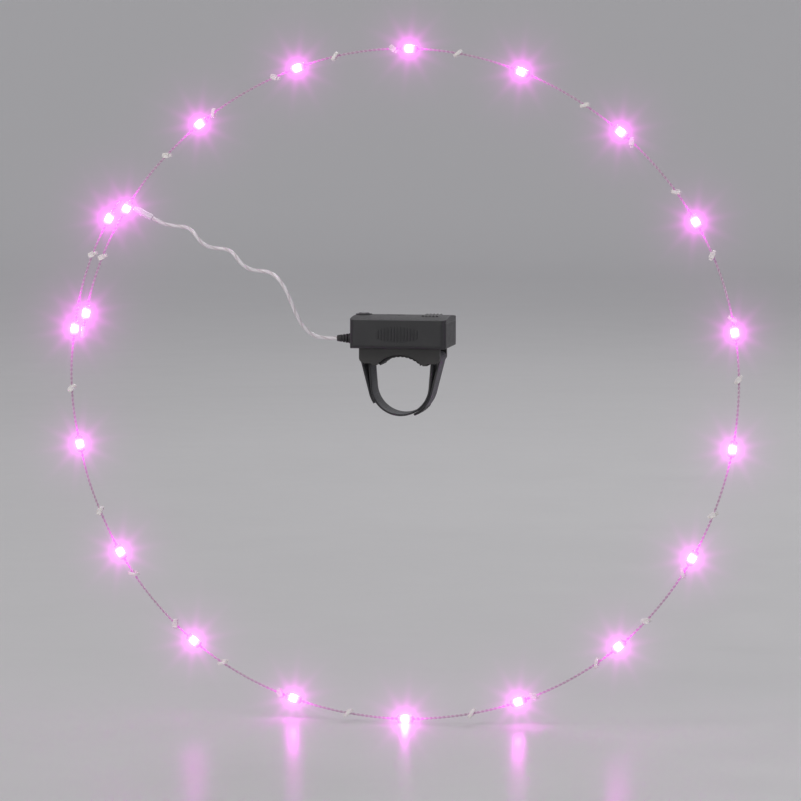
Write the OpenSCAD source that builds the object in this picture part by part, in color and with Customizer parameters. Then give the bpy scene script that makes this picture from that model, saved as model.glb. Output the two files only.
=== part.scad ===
// Spoke wheel light: a string of small lights tied in a ring to the spokes, fed through a wound lead
// by a battery pack that a strap holds on the hub.
// Origin: middle of the strap's loop. +Y runs along the axle, away from the viewer. +Z is up.
// Angles are measured from +X towards +Z, so they grow anticlockwise for a viewer on the -Y side.

/* [Spokes and hub that it fits] */
// Diameter of the hub shell under the strap
hub_d = 42; // [38:1:46]
// Radius of the circle where the spokes enter the rim
rim_r = 268.5; // [267:0.5:275]
// Radius of the spoke holes in the hub flange
flange_r = 29.6; // [26:0.2:32]
// Distance from the ring's middle plane to a hub flange
flange_y = 32; // [30:0.5:34]
// Diameter of a spoke
spoke_d = 2; // [1.8:0.1:2.3]
// Number of spokes
spoke_count = 32; // [28:4:36]
// Spokes of its own flange that a spoke crosses
spoke_crosses = 3; // [2:1:3]
// Angle of the spoke that carries the lead, at the rim
lead_spoke_angle = 147.4; // [146.5:0.1:148]

/* [String of lights] */
// Mean radius at which the string is tied to the spokes
ring_r = 248.5; // [246:0.5:252]
// Room between the ties where the string's two ends pass each other
overlap_room = 0.6; // [0.4:0.1:3]
// Natural wander of the string's radius between ties
ring_sway = 0.8; // [0:0.1:1.5]
// Outer diameter of the string's wire
wire_d = 1.8; // [1.4:0.1:2]
// Number of lights
led_count = 20; // [10:1:20]
// Distance between neighbouring lights along the string
led_pitch = 86; // [80:1:90]
// Angle of the first light
first_led_angle = 151.5; // [150:0.1:153]
// Length of wire past the last light
tail_l = 9; // [8:0.5:14]
// Diameter of the seal on the string's end
end_seal_d = 3.4; // [3:0.1:4.5]
// Length of the seal on the string's end
end_seal_l = 9; // [7:0.5:12]

/* [Light capsule] */
// Diameter of a light's clear capsule
capsule_d = 5.6; // [5:0.1:6]
// Length of a light's clear capsule
capsule_l = 12; // [9:0.5:13]
// Radius on the capsule's outer ends
capsule_round = 1.6; // [0.8:0.1:1.7]
// Wall of the capsule round its cavity
capsule_wall = 0.8; // [0.6:0.1:0.9]
// Length of the light-emitting chip
chip_l = 2.2; // [1.6:0.1:3]
// Width of the light-emitting chip
chip_w = 1.1; // [0.8:0.1:1.2]
// Height of the light-emitting chip
chip_h = 0.8; // [0.5:0.1:0.9]

/* [Spoke ties] */
// Width of a tie's band
tie_w = 2.4; // [1.8:0.1:2.5]
// Thickness of a tie's band
tie_t = 0.9; // [0.7:0.1:1]
// Length of a tie's head along the band
tie_head_l = 4.4; // [3.5:0.1:4.8]
// Width of a tie's head
tie_head_w = 3.8; // [3.2:0.1:4.2]
// Height of a tie's head above its band
tie_head_h = 2.4; // [1.8:0.1:3]
// Length of the cut tail that stands out of a tie's head
tie_tail = 1.6; // [1:0.1:2]

/* [Lead] */
// Outer diameter of the lead
lead_d = 2.8; // [2.4:0.1:3.2]
// Length of spoke that one turn of the lead takes
lead_pitch = 36; // [30:1:45]
// Turns of the lead round its spoke
lead_turns = 2.5; // [1.5:0.25:3]
// Distance from the rim to the outer end of the splice, along the spoke
splice_from_rim = 29; // [27:0.5:34]
// Length of the splice sleeve
splice_l = 16; // [12:0.5:22]
// Wall of the splice sleeve round the lead
splice_wall = 0.8; // [0.6:0.1:1.2]
// Diameter of one core of the lead
core_d = 1.1; // [0.9:0.1:1.2]

/* [Cells] */
// Diameter of a cell
cell_d = 14.5; // [14:0.1:14.8]
// Length of a cell with its nub
cell_l = 50.5; // [49.5:0.1:51]
// Diameter of a cell's nub
nub_d = 5.5; // [4.5:0.1:6]
// Height of a cell's nub
nub_h = 1; // [0.8:0.1:1.5]
// Length of a pressed contact spring
spring_l = 5.4; // [5:0.1:7]
// Diameter of the spring wire
spring_wire_d = 0.7; // [0.5:0.05:0.8]
// Turns of a contact spring
spring_turns = 3.5; // [3:0.25:3.75]
// Radius of a spring at its plate
spring_base_r = 4.4; // [4:0.1:5]
// Radius of a spring at its cell
spring_tip_r = 2.4; // [2:0.1:3]

/* [Battery pack] */
// Wall of the battery box
wall = 2; // [1.8:0.1:2.4]
// Floor of the battery box
floor_t = 2.2; // [1.8:0.1:3]
// Plastic between the saddle pad and the box floor
saddle_web = 5; // [3:0.5:8]
// Length of the bay that holds the circuit board
board_bay_l = 9; // [8.6:0.1:11]
// Wall between the board bay and the cells
partition_t = 1.6; // [1.2:0.1:2.4]
// Thickness of a contact plate
plate_t = 0.5; // [0.3:0.1:0.6]
// Radius of the box's upright edges
corner_r = 4; // [2.5:0.5:5]
// Radius of the box's bottom edges
edge_r = 2.5; // [1:0.5:3]
// Thickness of the cover at its edge
cover_t = 2.4; // [2.2:0.1:3]
// Rise of the crowned top over its width
crown_h = 2.4; // [1.5:0.1:4]
// Height of a cover tongue
tongue_h = 1.2; // [1:0.1:1.4]
// Depth of a cover tongue
tongue_d = 0.9; // [0.6:0.1:1]
// Number of thumb ridges on the cover
ridge_count = 5; // [3:1:7]
// Distance between thumb ridges
ridge_pitch = 2.6; // [2.2:0.1:3.2]
// Length of a thumb ridge
ridge_l = 20; // [14:1:26]

/* [Button and board] */
// Diameter of the button cap
button_d = 8; // [7:0.1:8.4]
// Height of the button cap above the crowned top
button_rise = 1.4; // [0.9:0.1:2]
// Travel of the button
button_travel = 0.6; // [0.4:0.05:0.7]
// Thickness of the circuit board
board_t = 1.6; // [1:0.1:1.6]
// Length of the circuit board across the pack
board_w = 42; // [40:0.5:44]
// Side of the tactile switch
tact_w = 6; // [5:0.1:6.2]
// Height of the tactile switch
tact_h = 3.5; // [2.5:0.1:3.6]
// Diameter of the switch plunger
plunger_d = 3.4; // [2.4:0.1:3.5]
// Diameter of a screw
screw_d = 2; // [1.6:0.1:2.2]

/* [Saddle and strap] */
// Thickness of the saddle pad
pad_t = 2; // [1.5:0.1:3]
// Width of the strap and of the saddle pad
strap_w = 25; // [20:1:26]
// Thickness of one ply of the strap
strap_t = 1.6; // [1.2:0.1:1.8]
// Diameter of the bars that the strap loops round
bar_d = 4; // [3.5:0.1:4.5]
// Thickness of the cheeks that carry the bars
cheek_t = 3.5; // [2.5:0.1:4]
// Angle that the hook end runs round the hub
hook_end_angle = 62; // [40:1:70]
// Angle that the sewn end runs round the hub
sewn_end_angle = 34; // [25:1:38]

/* [Cable gland] */
// Length of the boot outside the box
gland_l = 12; // [9:0.5:14]
// Diameter of the boot at the box
gland_d = 7.6; // [7:0.1:8]
// Diameter of the neck in the box wall
gland_neck_d = 6; // [5.4:0.1:6.4]
// Distance of the gland from the pack's middle plane
gland_y = 8; // [7:0.5:9]

/* [Hidden] */
$fn = 32;
TUBE_SIDES = 8;
SPRING_SIDES = 6;
BORE_GAP = 0.1;         // radial room round a wire in a capsule, sleeve, seal or gland
SEAT_GAP = 0.3;         // room between a piece and what it sits in
SLIDE_GAP = 0.25;       // room round the sliding cover
TIE_GAP = 0.15;         // room between a tie or strap and what it holds
TOUCH_GAP = 0.05;       // room where two pieces meet end to end
OVER = 1;               // how far a cut or a joined block runs past a face
NEAR = 0.01;            // difference that counts as none
DEG_PER_RAD = 180 / PI;

// Spokes and hub
hub_r = hub_d / 2;
spoke_step = 360 / spoke_count;
cross_angle = spoke_crosses * 2 * spoke_step;

// Ties lie across the crossing of wire and spoke at half a right angle
TIE_SLANT = 45;
TIE_BEND_R = 1.2;       // inner radius of a tie's corners
TIE_HEAD_R = 0.5;       // radius on a tie's head
tie_in_half = max(wire_d, spoke_d) / 2 / cos(TIE_SLANT) + tie_w / 2 + TIE_GAP;
tie_reach = (tie_in_half + tie_t) * sin(TIE_SLANT) + tie_w / 2 * cos(TIE_SLANT);
tie_room = capsule_l / 2 + tie_reach + SEAT_GAP;

// String
ring_step = 2 * tie_reach + overlap_room;
led_step = led_pitch / ring_r * DEG_PER_RAD;
last_led_angle = first_led_angle + (led_count - 1) * led_step;
STRAIGHT_PAST = 0.5;    // straight wire past each end of a capsule
straight_angle = (capsule_l / 2 + STRAIGHT_PAST) / ring_r * DEG_PER_RAD;
tail_angle = tail_l / ring_r * DEG_PER_RAD;
RING_MIDS = 5;          // route points between the straight stretches of two lights
SWAY_WAVES = 5;         // waves of the string's wander in one turn
SHIFT_RAMP = 5.5;       // degrees over which the string moves sideways past a spoke
START_BEND = 11;        // reach of the handles of the bend from the lead into the ring
BEND_STEPS = 10;        // route points along a bend
SEAL_SHARE = 0.6;       // share of the end seal that the wire fills

// Lead
splice_d = lead_d + 2 * (BORE_GAP + splice_wall);
splice_off = (spoke_d + splice_d) / 2 + SEAT_GAP;
splice_in = splice_from_rim + splice_l;
wind_start = splice_in + 2 * lead_d;
WIND_EASE = 12;         // length over which the winding gathers its full pitch
wind_end = wind_start + WIND_EASE / 2 + lead_turns * lead_pitch;
wind_r = (spoke_d + lead_d) / 2 + BORE_GAP;
WIND_RINGS = 12;        // route points in one turn of the winding
LEAD_BEND = 26;         // reach of the handles of the bend from the spoke to the pack
LEAD_STRAIGHT = 3;      // straight run of the lead out of its gland, in diameters

// Battery pack, from the hub outwards and from the board end to the open end
CELLS = 3;
CELL_SPACE = 0.8;       // room between two cells
BAY_SPACE = 0.4;        // extra width of the cell bay
CELL_HEADROOM = 1.6;    // room between the cells and the cover
cell_pitch = cell_d + CELL_SPACE;
bay_w = CELLS * cell_pitch + BAY_SPACE;
bay_l = cell_l + spring_l + 2 * plate_t + 2 * TOUCH_GAP;
pack_w = bay_w + 2 * wall;
pack_l = 2 * wall + board_bay_l + partition_t + bay_l;
saddle_r = hub_r + pad_t;
box_z = saddle_r + saddle_web;
floor_z = box_z + floor_t;
cell_z = floor_z + SEAT_GAP + cell_d / 2;
cover_z = cell_z + cell_d / 2 + CELL_HEADROOM;
wall_top_z = cover_z + cover_t;
crown_z = wall_top_z + crown_h;
crown_r = (pow(pack_w / 2, 2) + pow(crown_h, 2)) / (2 * crown_h);
x_board_end = -pack_l / 2;
x_board_bay = x_board_end + wall;
x_partition = x_board_bay + board_bay_l;
x_bay = x_partition + partition_t;
x_bay_end = x_bay + bay_l;
x_open_end = pack_l / 2;
x_plate = x_bay + plate_t;
x_plate_end = x_bay_end - plate_t;
CROWN_SIDES = 400;      // sides of the large circle that crowns the top
CROWN_EDGE_R = 1.2;     // radius on the ends of the crowned top
RIDGE_T = 1.2;          // thickness of the floor ridges between the cells
RIDGE_H = 3;            // height of the floor ridges
RIDGE_INSET = 6;        // distance of the floor ridges from the bay's ends

// Cover
groove_d = tongue_d + SLIDE_GAP;
TONGUE_UP = 0.5;        // height of a tongue above the cover's underside
tongue_z = cover_z + TONGUE_UP;
RELIEF_H = 1.4;         // depth of the hollow under the cover
RELIEF_EDGE = 5;        // width of the cover's edge round that hollow
THUMB_R = 1;            // radius of a thumb ridge
THUMB_SINK = 0.5;       // depth of a thumb ridge's axis below the crown
THUMB_INSET = 9;        // distance of the first thumb ridge from the cover's end

// Button stack, from the deck downwards
x_button = x_board_bay + board_bay_l / 2;
BEZEL_W = 2;            // width of the raised ring round the button
BEZEL_H = 0.6;          // height of that ring above the crown
BUTTON_R = 0.7;         // radius on the button's top edge
STEM_D = 3;             // diameter of the button's stem
STEM_L = 0.6;           // length of the stem under the button's flange
FLANGE_H = 0.8;         // thickness of the button's flange
FLANGE_OUT = 1;         // width of that flange past the button
flange_w = board_bay_l - 2 * SEAT_GAP;
PLUNGER_RISE = 1.2;     // height of the plunger above the switch
PLUNGER_SUNK = 1;       // length of the plunger inside the switch
button_top_z = crown_z + button_rise;
flange_z = cover_z - TOUCH_GAP - FLANGE_H;
plunger_top_z = flange_z - STEM_L - TOUCH_GAP;
tact_top_z = plunger_top_z - PLUNGER_RISE;
tact_z = tact_top_z - tact_h;
board_z = tact_z - board_t;

// Board in its bay
BOARD_EDGE = 0.4;       // room between the board and the walls of its bay
SCREW_INSET = 4;        // distance of a screw from the board's end
SCREW_L = 5;            // depth of a screw hole
SCREW_HEAD_H = 1.4;     // height of a screw head
SLOT_L = 2.2;           // length of a screw's cross slots
SLOT_W = 0.5;           // width of a screw's cross slots
board_l = board_bay_l - 2 * BOARD_EDGE;
board_x = x_button;
board_screw_y = board_w / 2 - SCREW_INSET;
BOSS_WALL = 1.5;        // plastic round a screw
HEAD_OUT = 0.8;         // width of a screw head past its thread
boss_d = screw_d + 2 * BOSS_WALL;
screw_head_d = screw_d + 2 * HEAD_OUT;
DRIVER_SIZE = [4, 5, 1.5];
DRIVER_Y = 10.5;        // place of the driver chip across the board
RESISTOR_SIZE = [2, 1.2, 0.6];
RESISTOR_PITCH = 2.5;   // distance between the chip resistors
RESISTOR_Y = -12;       // place of the outermost chip resistor across the board
RESISTORS = 3;

// Saddle and strap
SADDLE_INSET = 0.5;     // how far the saddle's sides lie inside the hub's width
FOOT_DROP = 6;          // how far the saddle's feet end below the top of the hub
CHEEK_UP = 1.5;         // height of the cheeks' lower edge above the feet
CHEEK_RIM = 1.6;        // plastic round the end of a bar
BAR_OUT = 5.5;          // distance of a bar from the hub's side
BAR_DROP = 7.5;         // distance of a bar below the box
SLOT_SPACE = 0.5;       // room beside the strap in its slot
PAD_HALF_ANGLE = 45;
SADDLE_SCREW_IN = 6.5;  // distance of a screw from the saddle's side
SADDLE_GRIP = 6;        // depth of a screw in the saddle
saddle_half = hub_r - SADDLE_INSET;
saddle_screw_x = saddle_half - SADDLE_SCREW_IN;
saddle_screw_l = floor_t + SADDLE_GRIP;
foot_z = hub_r - FOOT_DROP;
cheek_z = foot_z + CHEEK_UP;
slot_half = strap_w / 2 + SLOT_SPACE;
saddle_w = 2 * (slot_half + cheek_t);
bar_x = hub_r + BAR_OUT;
bar_z = box_z - BAR_DROP;
ply_1_r = hub_r + strap_t / 2;
ply_2_r = ply_1_r + strap_t + BORE_GAP;
wrap_r = bar_d / 2 + TIE_GAP + strap_t / 2;
bar_dist = norm([bar_x, bar_z]);
bar_angle = atan2(bar_z, bar_x);
leave_angle = bar_angle - acos((ply_1_r + wrap_r) / bar_dist);
return_angle = bar_angle - acos((ply_2_r - wrap_r) / bar_dist);

// Gland and wires inside the pack
GLAND_FLANGE_OUT = 0.7; // width of the gland's inner flange past its neck
GLAND_FLANGE_H = 1.2;   // thickness of that flange
GLAND_COLLAR = 2;       // length of the boot before it tapers
GLAND_LIP = 0.7;        // wall of the boot at its tip
BOOT_GROOVES = 3;       // grooves that let the boot bend
BOOT_GROOVE_W = 0.8;
BOOT_GROOVE_PITCH = 2.2;
gland_flange_r = gland_neck_d / 2 + GLAND_FLANGE_OUT;
gland_z = floor_z + SEAT_GAP + gland_flange_r;
LEAD_INSIDE = 0.6;      // length of lead past the gland inside the box
lead_inner_x = x_board_bay + GLAND_FLANGE_H + LEAD_INSIDE;
RETURN_WIRE_D = 1.2;
RETURN_IN = 4.8;        // place of the return wire, in from the middle of the third cell
return_y = cell_pitch - RETURN_IN;
return_z = floor_z + RETURN_WIRE_D / 2 + SEAT_GAP;
WIRE_BEND = 3;          // radius of the bends of the wires inside the pack
BEND_STEP = 15;         // degrees between route points of those bends
CORE_SPACE = 0.1;       // half the room between the lead's two cores
CORE_OUT = 0.4;         // straight run of a core out of the lead

LED_NAMES = [for (i = [1:led_count]) str("led_capsule_", i < 10 ? "0" : "", i)];
CELL_NAMES = [for (i = [1:CELLS]) str("cell_", i)];

// Vectors and routes
function unit(v) = v / norm(v);
function polar(a, r, y = 0) = [r * cos(a), y, r * sin(a)];
function plane_angle(v) = atan2(v.z, v.x);
function smooth(t) = let (s = min(1, max(0, t))) s * s * (3 - 2 * s);
function bezier(p, q, r, s, t) =
    pow(1 - t, 3) * p + 3 * t * pow(1 - t, 2) * q + 3 * t * t * (1 - t) * r + pow(t, 3) * s;
function bend(p, q, r, s, n) = [for (i = [1:n - 1]) bezier(p, q, r, s, i / n)];
function tangent(path, i) = unit(path[min(len(path) - 1, i + 1)] - path[max(0, i - 1)]);
function path_length(path, i = 1) =
    i == len(path) ? 0 : norm(path[i] - path[i - 1]) + path_length(path, i + 1);
function mix(p, q, t) = p + (q - p) * t;
// Least distance between points of a route that are at least skip places apart, less the tube's diameter
function least_gap(path, d, skip) =
    min([for (i = [0:len(path) - 1 - skip]) for (j = [i + skip:len(path) - 1]) norm(path[i] - path[j])]) - d;

// Spokes: neighbours leave opposite flanges, and pairs lean opposite ways
function rim_angle(k) = lead_spoke_angle + k * spoke_step;
function spoke_side(k) = k % 2 == 0 ? -1 : 1;
function spoke_lean(k) = floor(k / 2) % 2 == 0 ? 1 : -1;
function rim_point(k) = polar(rim_angle(k), rim_r);
function flange_point(k) =
    polar(rim_angle(k) - spoke_lean(k) * cross_angle, flange_r, spoke_side(k) * flange_y);
// Where spoke k passes the circle of radius r
function spoke_at_radius(k, r) =
    let (p = rim_point(k), v = flange_point(k) - p,
         a = v.x * v.x + v.z * v.z, b = p.x * v.x + p.z * v.z, c = rim_r * rim_r - r * r)
    p + v * (-b - sqrt(b * b - a * c)) / a;
// Angle of that crossing, counted on from the spoke's angle at the rim
function crossing_angle(k, r) =
    let (p = spoke_at_radius(k, r), a = rim_angle(k)) a + asin((cos(a) * p.z - sin(a) * p.x) / r);

// String: a ring that creeps inwards, with a step to one side where a light lies on a spoke
function led_angle(i) = first_led_angle + i * led_step;
function ring_radius(a) =
    ring_r + ring_step * ((first_led_angle + last_led_angle) / 2 - a) / 360 + ring_sway * sin(SWAY_WAVES * a);
touch_y = (wire_d + spoke_d) / 2 + TOUCH_GAP;
// Side position at which the string lies against spoke k
function against(k, a) = spoke_at_radius(k, ring_radius(a)).y - spoke_side(k) * touch_y;
function weave(a) =
    let (k = floor((a - lead_spoke_angle) / spoke_step), r = ring_radius(a),
         from = crossing_angle(k, r), to = crossing_angle(k + 1, r))
    against(k, a) + (against(k + 1, a) - against(k, a)) * smooth((a - from) / (to - from));
// Extra step that keeps a light's capsule clear of a spoke beside it
function led_shift(i) =
    let (a = led_angle(i), k = round((a - lead_spoke_angle) / spoke_step), r = ring_radius(a),
         gap = abs(a - crossing_angle(k, r)) / DEG_PER_RAD * r)
    gap < capsule_l / 2 + spoke_d ? -spoke_side(k) * ((capsule_d - wire_d) / 2 + TIE_GAP) : 0;
function sideways(a) =
    let (i = min(led_count - 1, max(0, round((a - first_led_angle) / led_step))), off = abs(a - led_angle(i)))
    off < straight_angle + NEAR ? weave(led_angle(i)) + led_shift(i)
        : weave(a) + led_shift(i) * smooth(1 - (off - straight_angle) / SHIFT_RAMP);
function ring_point(a) = polar(a, ring_radius(a), sideways(a));

// Lead: wound round its spoke from the splice towards the hub, then bent across to the pack
lead_rim = rim_point(0);
lead_dir = unit(flange_point(0) - lead_rim);
lead_n1 = unit([lead_dir.z, 0, -lead_dir.x]);
lead_n2 = cross(lead_dir, lead_n1);
function on_spoke(u) = lead_rim + u * lead_dir;
function wind_turn(u) =
    let (v = max(0, u - wind_start))
    360 / lead_pitch * (v < WIND_EASE ? v * v / (2 * WIND_EASE) : v - WIND_EASE / 2);
function wind_radius(u) = splice_off + (wind_r - splice_off) * smooth((u - wind_start) / WIND_EASE);
function wound(u) =
    let (a = wind_turn(u)) on_spoke(u) + wind_radius(u) * (cos(a) * lead_n1 + sin(a) * lead_n2);
function beside_spoke(u) = on_spoke(u) + splice_off * lead_n1;

gland_base = [x_board_end, -gland_y, gland_z];
gland_tip = gland_base - [gland_l, 0, 0];
wind_exit = wound(wind_end);
wind_exit_dir = unit(wound(wind_end) - wound(wind_end - 1));
lead_out = gland_tip - [LEAD_STRAIGHT * lead_d, 0, 0];
splice_middle = splice_in - splice_l / 2;
wind_step = (wind_end - wind_start) / ceil(lead_turns * WIND_RINGS);
lead_path = concat(
    [[lead_inner_x, -gland_y, gland_z], gland_base, gland_tip, lead_out],
    bend(lead_out, lead_out - [LEAD_BEND, 0, 0],
         wind_exit + LEAD_BEND * wind_exit_dir, wind_exit, BEND_STEPS),
    [for (u = [wind_end:-wind_step:wind_start + wind_step / 2]) wound(u)],
    [for (u = [wind_start, splice_in + lead_d, splice_middle + TOUCH_GAP]) beside_spoke(u)]);

// String route: out of the splice, round the bend, through every light and on to the end seal
mid_step = (led_step - 2 * straight_angle) / (RING_MIDS + 1);
ring_angles = [for (i = [0:led_count - 1])
    let (from = led_angle(i) - straight_angle, to = led_angle(i) + straight_angle, last = i == led_count - 1)
    each concat([from, to], last ? [to + tail_angle] : [for (j = [1:RING_MIDS]) to + mid_step * j])];
ring_path = [for (a = ring_angles) ring_point(a)];
tail_point = ring_path[len(ring_path) - 1];
tail_start = ring_path[len(ring_path) - 2];
string_out = beside_spoke(splice_from_rim - 2 * wire_d);
first_handle = ring_path[0] - START_BEND * unit(ring_path[1] - ring_path[0]);
string_path = concat(
    [beside_spoke(splice_middle - TOUCH_GAP), string_out],
    bend(string_out, string_out - START_BEND * lead_dir, first_handle, ring_path[0], BEND_STEPS),
    ring_path);
// Point of the string's own straight steps at angle a
function string_at(a) =
    let (i = max([for (j = [0:len(ring_angles) - 2]) if (ring_angles[j] <= a) j]))
    mix(ring_path[i], ring_path[i + 1], (a - ring_angles[i]) / (ring_angles[i + 1] - ring_angles[i]));

// Ties: one on each spoke that has room beside the lights
function nearest_led(a) = min([for (i = [0:led_count - 1]) abs(a - led_angle(i))]) / DEG_PER_RAD * ring_r;
ties = [for (k = [0:2 * spoke_count]) let (a = crossing_angle(k, ring_radius(rim_angle(k))))
    if (a > first_led_angle && a < last_led_angle && nearest_led(a) > tie_room) [k, a]];

echo(string_length = path_length(string_path), lead_length = path_length(lead_path), ties = len(ties));
GAP_SKIP = 12;          // places along a route that count as the same stretch when its least gap is measured
echo(string_gap = least_gap(string_path, wire_d, GAP_SKIP));
echo(lead_gap = least_gap(lead_path, lead_d, GAP_SKIP));

// Shapes that repeat
// Solid tube of n sides along a route that never runs along the direction side
module tube(path, d, n = TUBE_SIDES, side = [0, 1, 0]) {
    last = len(path) - 1;
    points = [for (i = [0:last]) let (t = tangent(path, i), b = unit(cross(t, side)), c = cross(b, t))
        for (j = [0:n - 1]) path[i] + d / 2 * (cos(360 * j / n) * b + sin(360 * j / n) * c)];
    sides = [for (i = [0:last - 1]) for (j = [0:n - 1])
        let (a = i * n + j, b = i * n + (j + 1) % n) each [[a, a + n, b], [b, a + n, b + n]]];
    ends = [for (j = [1:n - 2]) each [[0, j, j + 1], [last * n, last * n + j + 1, last * n + j]]];
    polyhedron(points, concat(sides, ends), convexity = 10);
}

// Rectangle with round corners, centred
module round_rect(w, h, r) {
    square([w - 2 * r, h], center = true);
    square([w, h - 2 * r], center = true);
    for (x = [-1, 1], y = [-1, 1]) translate([x * (w / 2 - r), y * (h / 2 - r)]) circle(r);
}

// Outline drawn in X and Z, extruded along Y about the middle plane
module across(w) { rotate([90, 0, 0]) translate([0, 0, -w / 2]) linear_extrude(w) children(); }

// Outline drawn in Y and Z, extruded along X from x to x + l
module along_x(x, l) { translate([x, 0, 0]) rotate([90, 0, 90]) linear_extrude(l) children(); }

// Box between two corners
module block(lo, hi) { translate(lo) cube(hi - lo); }

// Children with their X axis laid along a direction at angle a in the ring's plane
module laid(p, a) { translate(p) rotate([0, -a, 0]) children(); }

// Half profile of a capsule with round outer edges, for turning about its length
module capsule_profile(r, l, c) {
    translate([0, -l / 2]) square([r - c, l]);
    translate([0, c - l / 2]) square([r, l - 2 * c]);
    for (y = [-1, 1]) translate([r - c, y * (l / 2 - c)]) circle(c);
}

// Battery pack
// Outer form of the box and its cover: round upright and bottom edges under a crowned top
module pack_form() {
    tall = crown_z - box_z;
    x0 = x_board_end - OVER;
    l = pack_l + 2 * OVER;
    intersection() {
        translate([0, 0, box_z - OVER]) linear_extrude(tall + 2 * OVER) round_rect(pack_l, pack_w, corner_r);
        along_x(x0, l) translate([0, box_z + tall]) round_rect(pack_w, 2 * tall, edge_r);
        along_x(x0, l) translate([0, crown_z - crown_r]) circle(crown_r, $fn = CROWN_SIDES);
        across(pack_w + 2 * OVER) translate([0, box_z + tall / 2]) round_rect(pack_l, tall, CROWN_EDGE_R);
    }
}

// A screw whose head sits on z = 0, with its thread below
module screw(l) {
    difference() {
        union() {
            cylinder(d = screw_head_d, h = SCREW_HEAD_H);
            translate([0, 0, -l]) cylinder(d = screw_d - 2 * TOUCH_GAP, h = l + SEAT_GAP);
        }
        for (a = [0, 90]) translate([0, 0, SCREW_HEAD_H]) rotate([0, 0, a])
            cube([SLOT_L, SLOT_W, SCREW_HEAD_H], center = true);
    }
}

// Places of the screws that hold the saddle, between the cells
module at_saddle_screws() {
    for (x = [-1, 1] * saddle_screw_x, y = [-1, 1] * cell_pitch / 2) translate([x, y, floor_z]) children();
}

// A bar for the strap between its two cheeks, which reach up to the box
module strap_bar(top) {
    for (y = [-1, 1] * (slot_half + cheek_t / 2)) translate([0, y, 0]) across(cheek_t) {
        translate([saddle_half - OVER, cheek_z]) square([bar_x - saddle_half + OVER, top - cheek_z]);
        translate([bar_x, bar_z]) circle(bar_d / 2 + CHEEK_RIM);
        translate([bar_x - OVER, bar_z]) square([bar_d / 2 + CHEEK_RIM + OVER, top - bar_z]);
    }
    translate([bar_x, 0, bar_z]) rotate([90, 0, 0])
        cylinder(d = bar_d, h = saddle_w - cheek_t, center = true);
}

// Saddle with two feet and two strap bars
module hub_saddle() {
    top = box_z - TOUCH_GAP;
    color("#1b1b1d") difference() {
        union() {
            across(saddle_w) difference() {
                translate([-saddle_half, foot_z]) square([2 * saddle_half, top - foot_z]);
                circle(saddle_r);
            }
            for (a = [0, 180]) rotate([0, 0, a]) strap_bar(top);
        }
        at_saddle_screws() translate([0, 0, -saddle_screw_l - SEAT_GAP])
            cylinder(d = screw_d, h = saddle_screw_l + SEAT_GAP);
    }
}

module saddle_screws() { color("silver") at_saddle_screws() screw(saddle_screw_l); }

// Bosses that carry the circuit board
module board_bosses() {
    for (s = [-1, 1]) translate([board_x, s * board_screw_y, 0]) difference() {
        translate([0, 0, floor_z - OVER]) cylinder(d = boss_d, h = board_z - floor_z + OVER);
        translate([0, 0, board_z - SCREW_L]) cylinder(d = screw_d, h = SCREW_L + OVER);
    }
}

module battery_box() {
    half = bay_w / 2;
    color("#1b1b1d") difference() {
        union() {
            pack_form();
            translate([x_button, 0, wall_top_z])
                cylinder(d = button_d + 2 * BEZEL_W, h = crown_z + BEZEL_H - wall_top_z);
        }
        // cell bay with its floor ridges, cover slot, and the grooves for the cover's tongues
        difference() {
            block([x_bay, -half, floor_z], [x_bay_end, half, crown_z + OVER]);
            for (y = [-1, 1] * cell_pitch / 2)
                block([x_bay + RIDGE_INSET, y - RIDGE_T / 2, floor_z - OVER],
                      [x_bay_end - RIDGE_INSET, y + RIDGE_T / 2, floor_z + RIDGE_H]);
        }
        // room for the saddle's screws in the floor, and for their heads in the ridges
        at_saddle_screws() {
            translate([0, 0, -floor_t - OVER]) cylinder(d = screw_d + 2 * BORE_GAP, h = floor_t + 2 * OVER);
            cylinder(d = screw_head_d + 2 * SEAT_GAP, h = RIDGE_H + OVER);
        }
        block([x_bay, -half, cover_z], [x_open_end + OVER, half, crown_z + OVER]);
        block([x_bay, -half - groove_d, tongue_z - SLIDE_GAP],
              [x_open_end + OVER, half + groove_d, tongue_z + tongue_h + SLIDE_GAP]);
        // board bay, open to the button above, the gland at the end and the return wire behind
        difference() {
            block([x_board_bay, -half, floor_z], [x_partition, half, cover_z]);
            board_bosses();
        }
        translate([x_button, 0, cover_z - OVER])
            cylinder(d = button_d + 2 * SLIDE_GAP, h = crown_z + BEZEL_H + 2 * OVER - cover_z);
        translate(gland_base - [OVER, 0, 0]) rotate([0, 90, 0])
            cylinder(d = gland_neck_d + 2 * TOUCH_GAP, h = wall + 2 * OVER);
        translate([x_partition - OVER, return_y, return_z]) rotate([0, 90, 0])
            cylinder(d = RETURN_WIRE_D + 2 * SEAT_GAP, h = partition_t + 2 * OVER);
    }
}

module battery_cover() {
    x0 = x_bay + SLIDE_GAP;
    half = bay_w / 2 - SLIDE_GAP;
    tip = half + tongue_d;
    color("#1f1f21") {
        difference() {
            intersection() {
                pack_form();
                union() {
                    block([x0, -half, cover_z], [x_open_end + OVER, half, crown_z + OVER]);
                    block([x0, -tip, tongue_z], [x_open_end + OVER, tip, tongue_z + tongue_h]);
                }
            }
            block([x0 + RELIEF_EDGE, RELIEF_EDGE - half, cover_z - OVER],
                  [x_open_end - RELIEF_EDGE, half - RELIEF_EDGE, cover_z + RELIEF_H]);
        }
        // thumb ridges across the open end
        for (i = [0:ridge_count - 1])
            translate([x_open_end - THUMB_INSET - i * ridge_pitch, 0, crown_z - THUMB_SINK])
                rotate([90, 0, 0]) cylinder(r = THUMB_R, h = ridge_l, center = true);
    }
}

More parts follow.
